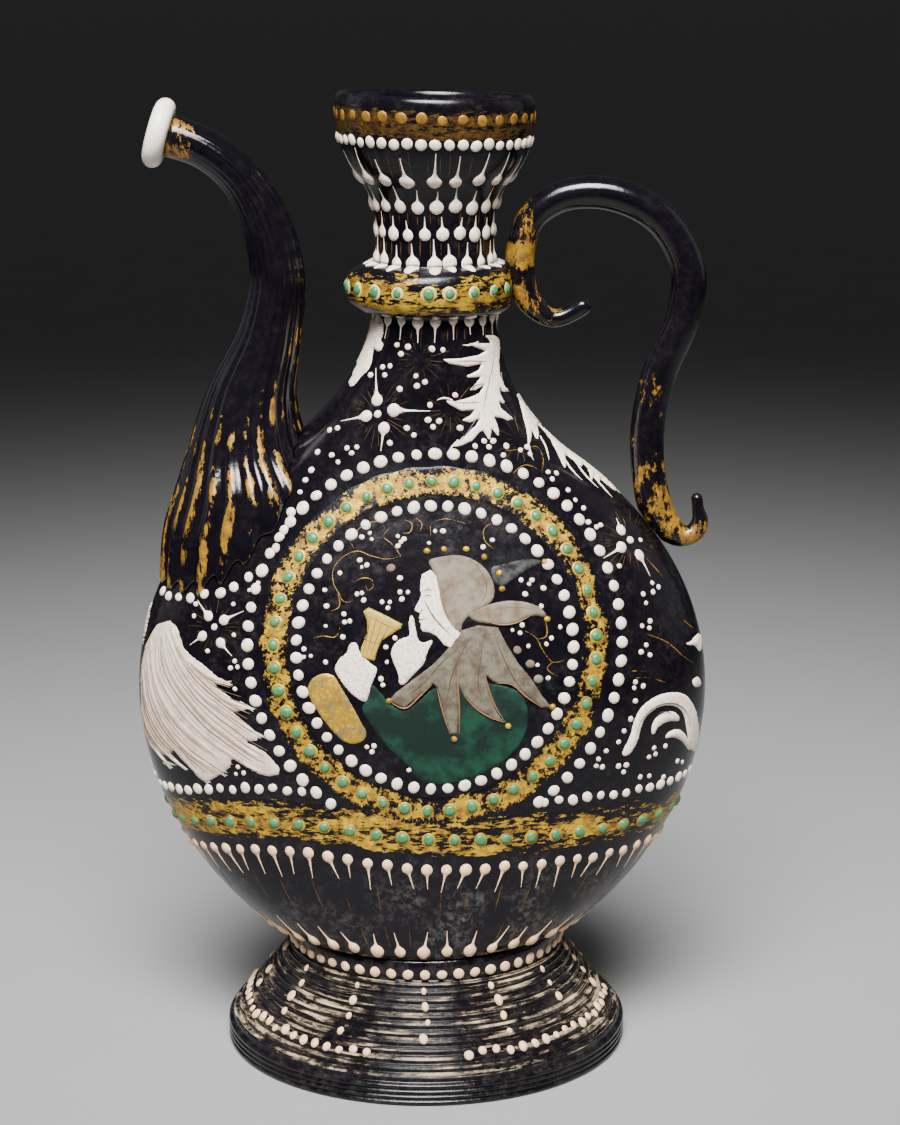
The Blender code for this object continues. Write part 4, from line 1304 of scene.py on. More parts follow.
def spout_course(steps):
    """Rows of x, z, radius and direction along the spout, from its tip down into the body."""
    seat = BODY_BASE + SPOUT_SEAT_RISE
    width, _, centre = envelope(np.array([seat]))
    axis = centre[0] - width[0] + SPOUT_ROOT_RADIUS
    rows = [(0.0, 0.0, SPOUT_ROOT_RADIUS), *SPOUT_COURSE, (*SPOUT_TIP, SPOUT_TIP_RADIUS)]
    course = smooth_course([(axis + x, seat + z, radius) for x, z, radius in rows], steps)[::-1]
    run = unit(np.gradient(course[:, :2], axis=0))
    even = np.hanning(2 * (len(course) // 5) + 3)[1:-1]
    half = len(even) // 2
    padded = np.vstack((np.repeat(run[:1], half, axis=0), run, np.repeat(run[-1:], half, axis=0)))
    calm = np.column_stack([np.convolve(padded[:, axis], even / even.sum(), "valid") for axis in range(2)])
    low = ramp(np.linspace(0.0, 1.0, len(course))[:, None], *SPOUT_CALM)
    return course, unit(run + (calm - run) * low)


def spout_skin(rows, shrink, fluted):
    """A grid of points on one skin of the spout, from the tip to where it meets the body's side."""
    course, run = spout_course(rows - 1)
    share = np.linspace(0.0, 1.0, rows)[:, None]
    angle = np.arange(SPOUT_SIDES)[None, :] * (2.0 * math.pi / SPOUT_SIDES)
    fade = ramp(share, 1.0 - FLUTE_FADE, FLUTE_FADE)
    furrow = (1.0 - np.cos(angle * FLUTE_COUNT)) / 2.0
    along = np.maximum(fade, TUBE_FLUTES * smooth_step(share / TUBE_FLUTE_FADE))
    size = course[:, 2:3] - shrink - (FLUTE_DEPTH * along * furrow if fluted else 0.0)
    flat = 1.0 - (1.0 - SPOUT_ROOT_FLATNESS) * fade
    lines = np.stack((
        course[:, 0:1] - size * np.cos(angle) * run[:, 1:2],
        size * np.sin(angle) * flat,
        course[:, 1:2] + size * np.cos(angle) * run[:, 0:1],
    ), axis=-1)
    return trim_to_body(lines)


def trim_to_body(lines):
    """Cut each lengthwise line where it meets the body, and spread its points again over what is left."""
    rows, sides, _ = lines.shape
    places = np.linspace(0.0, rows - 1.0, rows * 4)
    trimmed = np.empty_like(lines)
    for side in range(sides):
        line = lines[:, side]
        fine = np.column_stack([np.interp(places, np.arange(rows), line[:, axis]) for axis in range(3)])
        level = inside_level(fine, GAP)
        level[: len(level) // 3] = np.inf
        last = int(np.argmax(level < 1.0)) if (level < 1.0).any() else len(fine) - 1
        share = (level[last - 1] - 1.0) / max(level[last - 1] - level[last], 1e-9)
        end = fine[last - 1] + (fine[last] - fine[last - 1]) * np.clip(share, 0.0, 1.0)
        kept = np.vstack((fine[:last], end))
        length = np.concatenate(([0.0], np.cumsum(np.linalg.norm(np.diff(kept, axis=0), axis=1))))
        spread = np.linspace(0.0, length[-1], rows)
        for axis in range(3):
            trimmed[:, side, axis] = np.interp(spread, length, kept[:, axis])
    return trimmed


def build_spout_glass(material):
    """The spout's fluted outside and its bore, with the gilding on the ridges and at the tip marked."""
    outside = spout_skin(SPOUT_ROWS, 0.0, True)
    bore = spout_skin(SPOUT_ROWS, SPOUT_WALL, False)
    inside = np.concatenate((bore[:0:-3], bore[:1]))
    points = np.concatenate((outside, inside)).reshape(-1, 3)
    rows = len(outside) + len(inside)
    faces = grid_faces(rows, SPOUT_SIDES, round_columns=True, round_rows=True)[:, ::-1].tolist()
    share = np.linspace(0.0, 1.0, SPOUT_ROWS)[:, None]
    turn = np.arange(SPOUT_SIDES)[None, :] * (2.0 * math.pi * FLUTE_COUNT / SPOUT_SIDES)
    ridge = (1.0 + np.cos(turn)) / 2.0
    lower = RIDGE_GOLD * ramp(share, *RIDGE_GOLD_START) * ridge**RIDGE_POWER
    gold = lower + TIP_GOLD * (1.0 - ramp(share, *TIP_GOLD_END))
    inner = np.zeros((len(inside), SPOUT_SIDES))
    marks = {"weather": np.full(rows * SPOUT_SIDES, TUBE_WEATHER), "gilding": np.concatenate((gold, inner))}
    make_piece("spout_glass", points, faces, material, "spout", marks)


def build_lip_glass(material):
    """A thick, rounded ring seated on the spout's end, square to its run."""
    course, run = spout_course(SPOUT_ROWS)
    tip = np.array((course[0, 0], 0.0, course[0, 1]))
    outward = -np.array((run[0, 0], 0.0, run[0, 1]))
    across = np.array((outward[2], 0.0, -outward[0]))
    bore = SPOUT_TIP_RADIUS - SPOUT_WALL
    half = LIP_THICKNESS / 2.0
    outline = [(bore, 0.0), (bore + LIP_SEAT, 0.0)]
    outline += arc(LIP_RADIUS - LIP_ROUNDING, half, LIP_ROUNDING, half, -QUARTER, QUARTER, 15)
    for turn in np.linspace(0.0, QUARTER, 6):
        outline.append((
            bore + LIP_MOUTH_FLARE * (1.0 - math.sin(turn)),
            LIP_THICKNESS - LIP_MOUTH_FLARE * (1.0 - math.cos(turn)),
        ))
    angle = np.arange(LIP_SIDES) * (2.0 * math.pi / LIP_SIDES)
    turn = np.outer(np.cos(angle), across) + np.outer(np.sin(angle), (0.0, 1.0, 0.0))
    rings = [tip + outward * (GAP + out) + radius * turn for radius, out in outline]
    faces = grid_faces(len(rings), LIP_SIDES, round_columns=True, round_rows=True).tolist()
    make_piece("lip_glass", np.vstack(rings), faces, material, "spout_lip")


def handle_course(steps):
    """Rows of x, z and radius along the rod, from the upper curl's end to the lower curl's tip."""
    width, _, centre = envelope(np.array([KNOP_HEIGHT, SHOULDER_HEIGHT - HANDLE_SEAT_DROP]))
    knop = (centre[0] + width[0], KNOP_HEIGHT)
    shoulder = (centre[1] + width[1], SHOULDER_HEIGHT - HANDLE_SEAT_DROP)
    points = [(knop[0] + x, knop[1] + z, radius) for x, z, radius in HANDLE_ARCH]
    points += [(shoulder[0] + x, shoulder[1] + z, radius) for x, z, radius in HANDLE_TAIL]
    return smooth_course(points, steps)


def press_on_body(points):
    """Flatten the rod where it was pressed on the hot body, leaving the gap."""
    for _ in range(PRESS_STEPS):
        sunk = inside_level(points, GAP) < 1.0
        if not sunk.any():
            break
        points[sunk, 0] += PRESS_STEP
        points[sunk, 2] += PRESS_STEP * PRESS_LIFT
    return points


def build_handle_glass(material):
    """The bent rod with rounded ends; the gilding is marked at both of its ends."""
    course = handle_course(HANDLE_ROWS)
    run = unit(np.gradient(course[:, :2], axis=0))
    ends = np.sin(np.linspace(0.0, QUARTER, END_ROWS))[1:-1]
    rows = [(course[0], run[0], -share, math.sqrt(1.0 - share * share)) for share in ends[::-1]]
    rows += [(place, along, 0.0, 1.0) for place, along in zip(course, run)]
    rows += [(course[-1], run[-1], share, math.sqrt(1.0 - share * share)) for share in ends]
    angle = np.arange(HANDLE_SIDES) * (2.0 * math.pi / HANDLE_SIDES)
    rings = []
    for (x, z, radius), (run_x, run_z), beyond, shrunk in rows:
        size = radius * shrunk
        rings.append(np.column_stack((
            x + run_x * radius * beyond - size * np.cos(angle) * run_z,
            size * np.sin(angle),
            z + run_z * radius * beyond + size * np.cos(angle) * run_x,
        )))
    tips = (rings[0].mean(axis=0), rings[-1].mean(axis=0))
    points = np.vstack((press_on_body(np.vstack(rings)), tips))
    faces = [tuple(face)[::-1] for face in tube_faces(len(rings), HANDLE_SIDES)]
    share = np.repeat(np.linspace(0.0, 1.0, len(rings)), HANDLE_SIDES)
    gold = sum(amount * between(share, rise, fall) for amount, rise, fall in HANDLE_GOLD)
    marks = {"weather": np.full(len(points), TUBE_WEATHER), "gilding": np.concatenate((gold, (0.0, 0.0)))}
    make_piece("handle_glass", points, faces, material, "handle", marks)


def build_camera():
    """The camera at the place that was solved from the picture."""
    lens = bpy.data.cameras.new("camera")
    lens.sensor_width = SENSOR_WIDTH
    lens.lens = SENSOR_WIDTH * FOCAL_PIXELS / max(PICTURE_SIZE)
    camera = place_in_scene("camera", lens)
    camera.location = (CAMERA_SIDE, -CAMERA_DISTANCE, CAMERA_HEIGHT)
    camera.rotation_euler = (QUARTER - CAMERA_PITCH, 0.0, 0.0)
    bpy.context.scene.camera = camera


def soft_light(name, place, size, power, spread):
    """A rectangular light that shines on the middle of the ewer."""
    lamp = bpy.data.lights.new(name, "AREA")
    lamp.shape = "RECTANGLE"
    lamp.size, lamp.size_y = size
    lamp.energy = power
    lamp.spread = spread
    light = place_in_scene(name, lamp)
    light.location = place
    aim = np.array(LIT_PLACE) - np.array(place)
    level = math.hypot(aim[0], aim[1])
    light.rotation_euler = (math.atan2(level, -aim[2]), 0.0, math.atan2(aim[1], aim[0]) - QUARTER)


def build_studio():
    """A pale floor, a soft light above the front and a weaker one on each side."""
    half = FLOOR_HALF
    data = bpy.data.meshes.new("floor")
    corners = ((-half, -half, 0.0), (half, -half, 0.0), (half, half, 0.0), (-half, half, 0.0))
    data.from_pydata(corners, [], [(0, 1, 2, 3)])
    paint = Paint("floor", FLOOR, 0.75)
    paint.drive("Roughness", paint.cloud(*FLOOR_CLOUDS, *FLOOR_ROUGHNESS))
    data.materials.append(paint.material)
    place_in_scene("floor", data)
    for light in LIGHTS:
        soft_light(*light)
    world = bpy.data.worlds.new("studio")
    world.use_nodes = True
    world.node_tree.nodes["Background"].inputs["Color"].default_value = WORLD
    world.node_tree.nodes["Background"].inputs["Strength"].default_value = 1.0
    bpy.context.scene.world = world


class Relief:
    """Low forms of one finish: loose points, how far each stands off the glass, and their faces."""

    def __init__(self, bring_on=settle):
        self.bring_on = bring_on
        self.points = []
        self.lifts = []
        self.faces = []
        self.edges = []
        self.total = 0

    def add(self, points, lifts, faces, edges=0.0):
        points = np.asarray(points).reshape(-1, 3)
        self.points.append(points)
        self.edges.append(np.broadcast_to(np.ravel(edges), len(points)))
        self.lifts.append(np.asarray(lifts).ravel())
        self.faces += (np.asarray(faces) + self.total).tolist()
        self.total += len(points)

    def make(self, name, material, slot, lift=0.0):
        """Bring the forms on to the glass as one piece, lifted where they lie on enamel."""
        on, square = self.bring_on(np.vstack(self.points))
        points = on + square * (np.concatenate(self.lifts) + lift)[:, None]
        marks = {"edge": np.concatenate(self.edges)}
        make_piece(name, tilt_rim(points), self.faces, material, marks=marks)


def dome(relief, place, radius, rise=DOT_RISE, stretch=1.0, turn=0.0):
    """A drop of enamel: a low, not quite round cap on the glass."""
    place = np.asarray(place, dtype=float)
    square = relief.bring_on(place[None, :])[1][0]
    side = unit(np.cross((0.0, 0.0, 1.0), square))
    up = np.cross(square, side)
    sides = 14 if radius > SMALL_DOT else 9
    angle = np.arange(sides) * (2.0 * math.pi / sides)
    uneven = 1.0 + DOT_UNEVENNESS * np.sin(2.0 * angle + draw.uniform(0.0, math.tau))
    points = [place[None, :]]
    lifts = [np.array([radius * rise])]
    for share, height in DOME_PROFILE:
        along = radius * share * uneven * np.cos(angle) * stretch
        over = radius * share * uneven * np.sin(angle)
        across = along * math.cos(turn) - over * math.sin(turn)
        upward = along * math.sin(turn) + over * math.cos(turn)
        points.append(place + across[:, None] * side + upward[:, None] * up)
        lifts.append(np.full(sides, radius * rise * height - (SUNK if share == 1.0 else 0.0)))
    index = np.arange(sides)
    after = (index + 1) % sides
    faces = [(0, 1 + a, 1 + b) for a, b in zip(index, after)]
    for row in range(len(DOME_PROFILE) - 1):
        inner, outer = 1 + row * sides, 1 + (row + 1) * sides
        faces += [(inner + a, outer + a, outer + b) for a, b in zip(index, after)]
        faces += [(inner + a, outer + b, inner + b) for a, b in zip(index, after)]
    relief.add(np.vstack(points), np.concatenate(lifts), faces)


def stroke(relief, path, widths, rise, across=ROUND_ACROSS):
    """A line of enamel or gold along a path: half widths, and how far its middle stands up, along it."""
    path = np.asarray(path)
    widths = np.broadcast_to(widths, len(path))
    rise = np.broadcast_to(rise, len(path))
    on, square = relief.bring_on(path)
    side = unit(np.cross(unit(np.gradient(on, axis=0)), square))
    places, heights = np.array(across).T
    points = on[:, None] + (widths[:, None] * places)[..., None] * side[:, None]
    lifts = rise[:, None] * heights - np.where(heights == 0.0, SUNK, 0.0)
    faces = grid_faces(len(path), len(places))
    triangles = np.concatenate((faces[:, (0, 1, 2)], faces[:, (0, 2, 3)]))
    relief.add(points, lifts, triangles, np.broadcast_to(places**4, lifts.shape))


def drop(relief, head, tail, radius):
    """A round drop at the head, drawn out into a thin tail that ends at the other place."""
    head, tail = np.asarray(head, dtype=float), np.asarray(tail, dtype=float)
    length = np.linalg.norm(tail - head)
    turns = np.linspace(0.0, DROP_BALL_TURN, 9)
    reach = np.concatenate((-radius * np.cos(turns), np.linspace(0.85 * radius, max(length, radius), 8)))
    ball = np.sqrt(np.maximum(radius**2 - reach**2, 0.0))
    taper = radius * (TAIL_START * np.clip(1.0 - reach / length, 0.0, 1.0) ** TAIL_POWER + TAIL_END)
    widths = np.maximum(np.where(reach > 0.0, np.maximum(ball, taper), ball), THINNEST)
    stroke(relief, head + reach[:, None] * ((tail - head) / length), widths, widths * DOT_RISE)


def line_of(relief, pixels, half, rise, ends, steps=None):
    """A stroke through places in the picture, thinning towards its ends; its half width is in pixels."""
    pixels = np.array(pixels, dtype=float)
    span = np.linalg.norm(np.diff(pixels, axis=0), axis=1).sum()
    course = smooth_course(pixels, steps or max(6, int(span / 3.0)))
    share = np.linspace(0.0, 1.0, len(course))
    start, end = ends
    thin = np.minimum(
        start + (1.0 - start) * share / LINE_TAPER,
        end + (1.0 - end) * (1.0 - share) / LINE_TAPER,
    )
    widths = half * PIXEL * np.clip(thin, LINE_THINNEST, 1.0)
    stroke(relief, seen(course), widths, np.minimum(widths * LINE_ROUNDNESS, rise))


def patch(relief, pixels, rise, edge, step, soft=True):
    """A flat field of enamel inside an outline given in the picture, rounded down at its edges."""
    outline = np.array(pixels, dtype=float)
    if soft:
        outline = soften(outline)
    outline = even_spaced(outline, step)
    low, high = outline.min(axis=0), outline.max(axis=0)
    columns = np.arange(low[0], high[0], step)
    rows = np.arange(low[1], high[1], step * FIELD_ROW_STEP)
    grid = np.array([(x + row % 2 * step / 2.0, y) for row, y in enumerate(rows) for x in columns])
    grid = grid[within(grid, outline) & (distance_to(grid, outline) > FIELD_CLEARANCE * step)]
    count = len(outline)
    edges = [(index, (index + 1) % count) for index in range(count)]
    everything = [Vector(point) for point in np.vstack((outline, grid)).tolist()]
    points, _, faces, *_ = delaunay_2d_cdt(everything, edges, [], 1, 1e-5)
    points = np.array([tuple(point) for point in points])
    depth = distance_to(points, outline)
    inward = np.clip(depth / edge, 0.0, 1.0)
    lifts = rise * np.sqrt(inward * (2.0 - inward)) - np.where(depth < FIELD_RIM, SUNK, 0.0)
    relief.add(seen(points), lifts, [tuple(face)[::-1] for face in faces])


def soften(outline):
    """The outline with each corner cut twice, which rounds it."""
    for _ in range(2):
        after = np.roll(outline, -1, axis=0)
        pairs = (0.75 * outline + 0.25 * after, 0.25 * outline + 0.75 * after)
        outline = np.stack(pairs, axis=1).reshape(-1, 2)
    return outline


def even_spaced(outline, step):
    closed = np.vstack((outline, outline[:1]))
    length = np.concatenate(([0.0], np.cumsum(np.linalg.norm(np.diff(closed, axis=0), axis=1))))
    places = np.linspace(0.0, length[-1], max(8, int(length[-1] / step)) + 1)[:-1]
    return np.column_stack([np.interp(places, length, closed[:, axis]) for axis in range(2)])


def within(points, outline):
    """Which points lie inside a closed outline."""
    x, y = points[:, 0:1], points[:, 1:2]
    start, end = outline, np.roll(outline, -1, axis=0)
    crosses = (start[:, 1] > y) != (end[:, 1] > y)
    rise = np.where(end[:, 1] == start[:, 1], 1e-9, end[:, 1] - start[:, 1])
    reach = start[:, 0] + (y - start[:, 1]) * (end[:, 0] - start[:, 0]) / rise
    return (crosses & (x < reach)).sum(axis=1) % 2 == 1


def distance_to(points, outline):
    """How far each point is from a closed outline."""
    start, run = outline, np.roll(outline, -1, axis=0) - outline
    away = points[:, None, :] - start[None, :, :]
    share = np.clip((away * run).sum(axis=2) / np.maximum((run * run).sum(axis=1), 1e-12), 0.0, 1.0)
    return np.linalg.norm(away - share[..., None] * run, axis=2).min(axis=1)


def level_angles(height, count, phase=0.0):
    """Angles evenly spaced round the glass at a height, counted from the front's middle."""
    fine = np.linspace(-QUARTER, 3.0 * QUARTER, LEVEL_STEPS)
    points = surface(fine, height)[0]
    length = np.concatenate(([0.0], np.cumsum(np.linalg.norm(np.diff(points, axis=0), axis=1))))
    return np.interp((np.arange(count) + phase) / count * length[-1], length, fine)


def jitter(amount):
    return 1.0 + draw.uniform(-amount, amount)


def dot_row(relief, height, count, radius, phase, rise=DOT_RISE):
    """Dots in a level row all round the glass."""
    for angle in level_angles(height, count, phase):
        place = surface(angle, height + draw.uniform(-DOT_ROW_UNEVENNESS, DOT_ROW_UNEVENNESS))[0]
        size = radius * jitter(0.10)
        dome(relief, place, size, rise, stretch=jitter(0.08))


def drop_row(relief, height, count, radius, tail, phase, squash=1.0, wanders=False):
    """Drops in a row all round the glass, with tails up or down the glass."""
    for angle in level_angles(height, count, phase):
        level = height + draw.uniform(-DROP_ROW_UNEVENNESS, DROP_ROW_UNEVENNESS)
        if wanders:
            level = wander(angle, level)
        lean = draw.uniform(-0.03, 0.03)
        length = tail * jitter(0.2)
        size = radius * jitter(0.14)
        head, end = surface(angle, level)[0], surface(angle + lean, level + length)[0]
        drop(relief, head, end, size)
        if squash != 1.0:
            dome(relief, head, size, stretch=squash)


def panel_place(x, z, side):
    """The place on the body's front (side -1) or back (side 1) at this distance across and this height."""
    x, z = np.broadcast_arrays(np.asarray(x, float), np.asarray(z, float))
    width, depth, centre = envelope(z)
    share = np.clip((x - centre) / width, -0.998, 0.998)
    return np.stack((centre + share * width, side * depth * np.sqrt(1.0 - share**2), z), axis=-1)


def from_panel_middle(reach, angle, side):
    """The place at a distance and an angle from the round panel's middle."""
    return panel_place(PANEL_X + reach * np.cos(angle), PANEL_HEIGHT + reach * np.sin(angle), side)


def panel_ring(radius, count, side, phase=0.0):
    return from_panel_middle(radius, (np.arange(count) + phase) * (math.tau / count), side)


def ring_of_dots(relief, radius, count, size, side, lowest=0.0):
    """A ring of dots round the panel, above a lowest height."""
    for place in panel_ring(radius, count, side):
        turned = draw.uniform(0.0, math.pi)
        extent = size * jitter(0.12)
        if place[2] > lowest:
            dome(relief, place, extent, stretch=jitter(0.10), turn=turned)


def ragged(count, amount):
    """Factors near one that wander smoothly along a line and meet at its ends."""
    turn = np.linspace(0.0, math.tau, count)
    waves = [(draw.randint(5, 40), draw.uniform(0.0, math.tau)) for _ in range(6)]
    return 1.0 + amount * sum(np.sin(many * turn + start) for many, start in waves) / 2.5


def wander(angle, height):
    """The height that a row on the belly was painted at: in front it rises left of the middle, then dips."""
    place = surface(angle, height)[0]
    front = smooth_step(-place[..., 1] / ROW_FRONT)
    hump = ROW_HUMP * np.exp(-(((place[..., 0] - ROW_HUMP_X) / ROW_HUMP_WIDTH) ** 2))
    dip = ROW_DIP * np.exp(-(((place[..., 0] - ROW_DIP_X) / ROW_DIP_WIDTH) ** 2))
    return height + front * (hump - dip)


def gold_band(name, low, high, material, rows=9, amount=0.04):
    """A piece: a band of gold leaf round the glass between two heights, with uneven edges."""
    angle = np.linspace(0.0, math.tau, BAND_COLUMNS + 1)
    share = np.linspace(0.0, 1.0, rows)[:, None]
    middle, half = (low + high) / 2.0, (high - low) / 2.0
    top = middle + half * ragged(BAND_COLUMNS + 1, amount)
    bottom = middle - half * ragged(BAND_COLUMNS + 1, amount)
    heights = bottom + (top - bottom) * share
    if high < BELLY_HEIGHT:
        heights = heights + wander(angle, middle) - middle
    points = surface(np.broadcast_to(angle, heights.shape), heights)[0]
    lifts = np.full(heights.shape, GOLD_THICKNESS)
    lifts[0] = lifts[-1] = -SUNK / 4.0
    edges = np.broadcast_to((2.0 * share - 1.0) ** 4, heights.shape)
    relief = Relief()
    relief.add(points, lifts, grid_faces(rows, BAND_COLUMNS + 1), edges)
    relief.make(name, material, "gilding")


def dots_at(relief, pixels, radius, spread=0.12, rise=0.5):
    """Dots at places in the picture."""
    for place in seen(pixels):
        dome(relief, place, radius * jitter(spread), rise, stretch=jitter(0.08))


def green_dots(name, places):
    """Two pieces: green dots, and the low gold rim of each."""
    rims, green = Relief(), Relief()
    for place in places:
        size = jitter(0.12)
        dome(rims, place, RIM_DOT[0] * size, RIM_DOT[1], stretch=jitter(0.1))
        dome(green, place, GREEN_DOT[0] * size, GREEN_DOT[1], stretch=jitter(0.1))
    rims.make(f"{name}_dot_rims", GOLD_DOTS, "gilding")
    green.make(f"{name}_green_dots", ENAMEL_GREEN, "green_enamel")


def fields(name, outlines, field, material, slot, soft=True):
    """A piece: fields of enamel inside outlines in the picture."""
    relief = Relief()
    for outline in outlines:
        patch(relief, outline, *field, soft)
    relief.make(name, material, slot)


def lines(name, courses, line, material, slot="grey_enamel", lift=0.0, steps=None):
    """A piece: lines through places in the picture, lifted where they lie on enamel."""
    relief = Relief()
    for pixels in courses:
        line_of(relief, pixels, *line, steps)
    relief.make(name, material, slot, lift)


def cluster(relief, x, z, radius):
    """Three dots close together on the back."""
    start = draw.uniform(0.0, math.tau)
    for turn in range(3):
        angle = start + turn * math.tau / 3.0
        reach = CLUSTER_REACH * radius
        place = panel_place(x + reach * math.cos(angle), z + reach * math.sin(angle), 1)
        dome(relief, place, radius * jitter(0.15))


def decorate_neck():
    """Rows of dots and drops from the cup to below the knop, and the gold of the cup and the knop."""
    white = Relief()
    dot_row(white, *CUP_DOT_ROW)
    for row in NECK_DROP_ROWS:
        drop_row(white, *row)
    white.make("neck_drops", ENAMEL_WHITE, "white_enamel")
    ochre = Relief()
    dot_row(ochre, *CUP_OCHRE_ROW, CUP_OCHRE_RISE)
    ochre.make("cup_gold_dots", gilding("cup_dots", 0.55, GLASS, GOLD_BROWN, OCHRE, pale=OCHRE), "gilding")
    cream, green = Relief(), Relief()
    height, count, radius, phase = KNOP_DOT_ROW
    for angle in level_angles(height, count, phase):
        size = radius * jitter(0.14)
        if abs(math.remainder(angle, math.tau)) >= HANDLE_SEAT_ANGLE:
            place = surface(angle, height)[0]
            dome(cream, place, size, KNOP_RIM_RISE, stretch=jitter(0.1))
            dome(green, place, size * draw.uniform(*KNOP_GREEN_SHARES), KNOP_GREEN_RISE, stretch=jitter(0.1))
    cream.make("knop_dot_rims", ENAMEL_CREAM, "white_enamel")
    green.make("knop_green_dots", ENAMEL_GREEN, "green_enamel")
    cup_gold = gilding("cup_gold", 0.70, GLASS, BAND_DARK, BAND_BROWN, BAND_GRAIN, BAND_PALE)
    gold_band("cup_gold_band", *CUP_BAND, cup_gold)
    reach = KNOP_HALF_HEIGHT * KNOP_GOLD_SHARE
    knop_gold = gilding("knop_gold", 0.755, grain=BAND_GRAIN)
    gold_band("knop_gold", KNOP_HEIGHT - reach, KNOP_HEIGHT + reach, knop_gold, 17, 0.02)


def decorate_belt():
    """The gold band round the belly, its green dots, and the rows above and below it."""
    gold_band("belly_gold_band", *BELT_BAND, gilding("belly_gold", 0.745, grain=BAND_GRAIN), amount=0.07)
    angles = level_angles(BELT_DOT_HEIGHT, BELT_DOTS, BELT_DOT_PHASE)
    green_dots("belly", [surface(angle, wander(angle, BELT_DOT_HEIGHT))[0] for angle in angles])
    white = Relief()
    height, count, radius, phase = ABOVE_BELT_ROW
    for angle in level_angles(height, count, phase):
        uneven = draw.uniform(-DROP_ROW_UNEVENNESS, DROP_ROW_UNEVENNESS)
        place = surface(angle, wander(angle, height) + uneven)[0]
        size, flat = radius * jitter(0.14), jitter(0.1)
        if abs(place[0] - PANEL_X) > RING_GAP:
            dome(white, place, size, stretch=flat)
    white.make("belly_dots", ENAMEL_WHITE, "white_enamel")
    peach = Relief()
    drop_row(peach, *BELOW_BELT_ROW, wanders=True)
    drop_row(peach, *LOW_DROP_ROW)
    peach.make("bowl_drops", ENAMEL_PEACH, "white_enamel")


def decorate_foot():
    """Dots on the collar, a ring of dots near the edge and short lines of dots down the ribs."""
    peach = Relief(settle_on_foot)

    def dot(angle, reach, height, radius):
        dome(peach, (reach * math.cos(angle), reach * math.sin(angle), height), radius)

    for turn in range(COLLAR_DOTS):
        dot(math.tau * turn / COLLAR_DOTS, COLLAR_RADIUS, COLLAR_DOT_HEIGHT, COLLAR_DOT * jitter(0.12))
    for turn in range(FOOT_DOTS):
        angle = math.tau * turn / FOOT_DOTS
        radius, height = FOOT_DOT * jitter(0.2), FOOT_DOT_HEIGHT + draw.uniform(-0.0005, 0.0005)
        if math.sin(3.0 * angle + 0.6) + 0.6 * math.sin(7.0 * angle) <= 0.75:
            dot(angle, FOOT_RADIUS, height, radius)
    for line in range(FOOT_LINES):
        angle = math.tau * line / FOOT_LINES - QUARTER
        for step in range(FOOT_LINE_DOTS):
            height = COLLAR_DOT_HEIGHT - FOOT_LINE_DROP - step * FOOT_LINE_STEP
            lean = angle + draw.uniform(-0.02, 0.02)
            radius = FOOT_LINE_DOT * jitter(0.30)
            if draw.random() > FOOT_LINE_LOSS:
                dot(lean, FOOT_RADIUS, height, radius)
    peach.make("foot_dots", ENAMEL_PEACH, "white_enamel")


def decorate_panel(side, name):
    """The round frame: a gold ring with green dots between rings of white dots."""
    gold = Relief()
    path = panel_ring(PANEL_RADIUS, RING_COLUMNS, side)
    path = np.vstack((path, path[:1]))[::-side]
    stroke(gold, path, PANEL_BAND * ragged(len(path), 0.04), GOLD_THICKNESS, FLAT_ACROSS)
    gold.make(f"{name}_gold_ring", gilding(f"{name}_gold", 0.748), "gilding")
    green_dots(name, panel_ring(PANEL_RADIUS, PANEL_GREEN_DOTS, side, PANEL_GREEN_PHASE))
    white = Relief()
    ring_of_dots(white, *OUTER_RING, side, BELT_BAND[1] + BELT_CLEARANCE)
    ring_of_dots(white, *INNER_RING, side)
    white.make(f"{name}_white_rings", ENAMEL_WHITE, "white_enamel")


def decorate_shoulder():
    """Flowers, dots, a leaf, a second leaf along the edge and a small creature beside the neck."""
    white = Relief()
    for radius, middle, heads, tails in FLOWERS:
        for head, tail in zip(seen(heads), seen(tails)):
            drop(white, head, tail, radius * jitter(0.08))
        dots_at(white, [middle], radius * FLOWER_MIDDLE)
    for radius, pixels in DOT_GROUPS:
        dots_at(white, pixels, radius)
    patch(white, CREATURE_OUTLINE, *CREATURE_FIELD, False)
    white.make("shoulder_enamel", ENAMEL_WHITE, "white_enamel")
    leaf = Relief()
    for outline in LEAF_OUTLINES:
        patch(leaf, outline, *LEAF_FIELD, False)
    for pixels in LEAF_HAIRS:
        line_of(leaf, pixels, *HAIR_LINE, 8)
    leaf.make("leaves", ENAMEL_WHITE, "white_enamel")
    lines("leaf_veins", LEAF_VEINS + CREATURE_LINES, VEIN_LINE, LINE_DARK, lift=VEIN_LIFT)


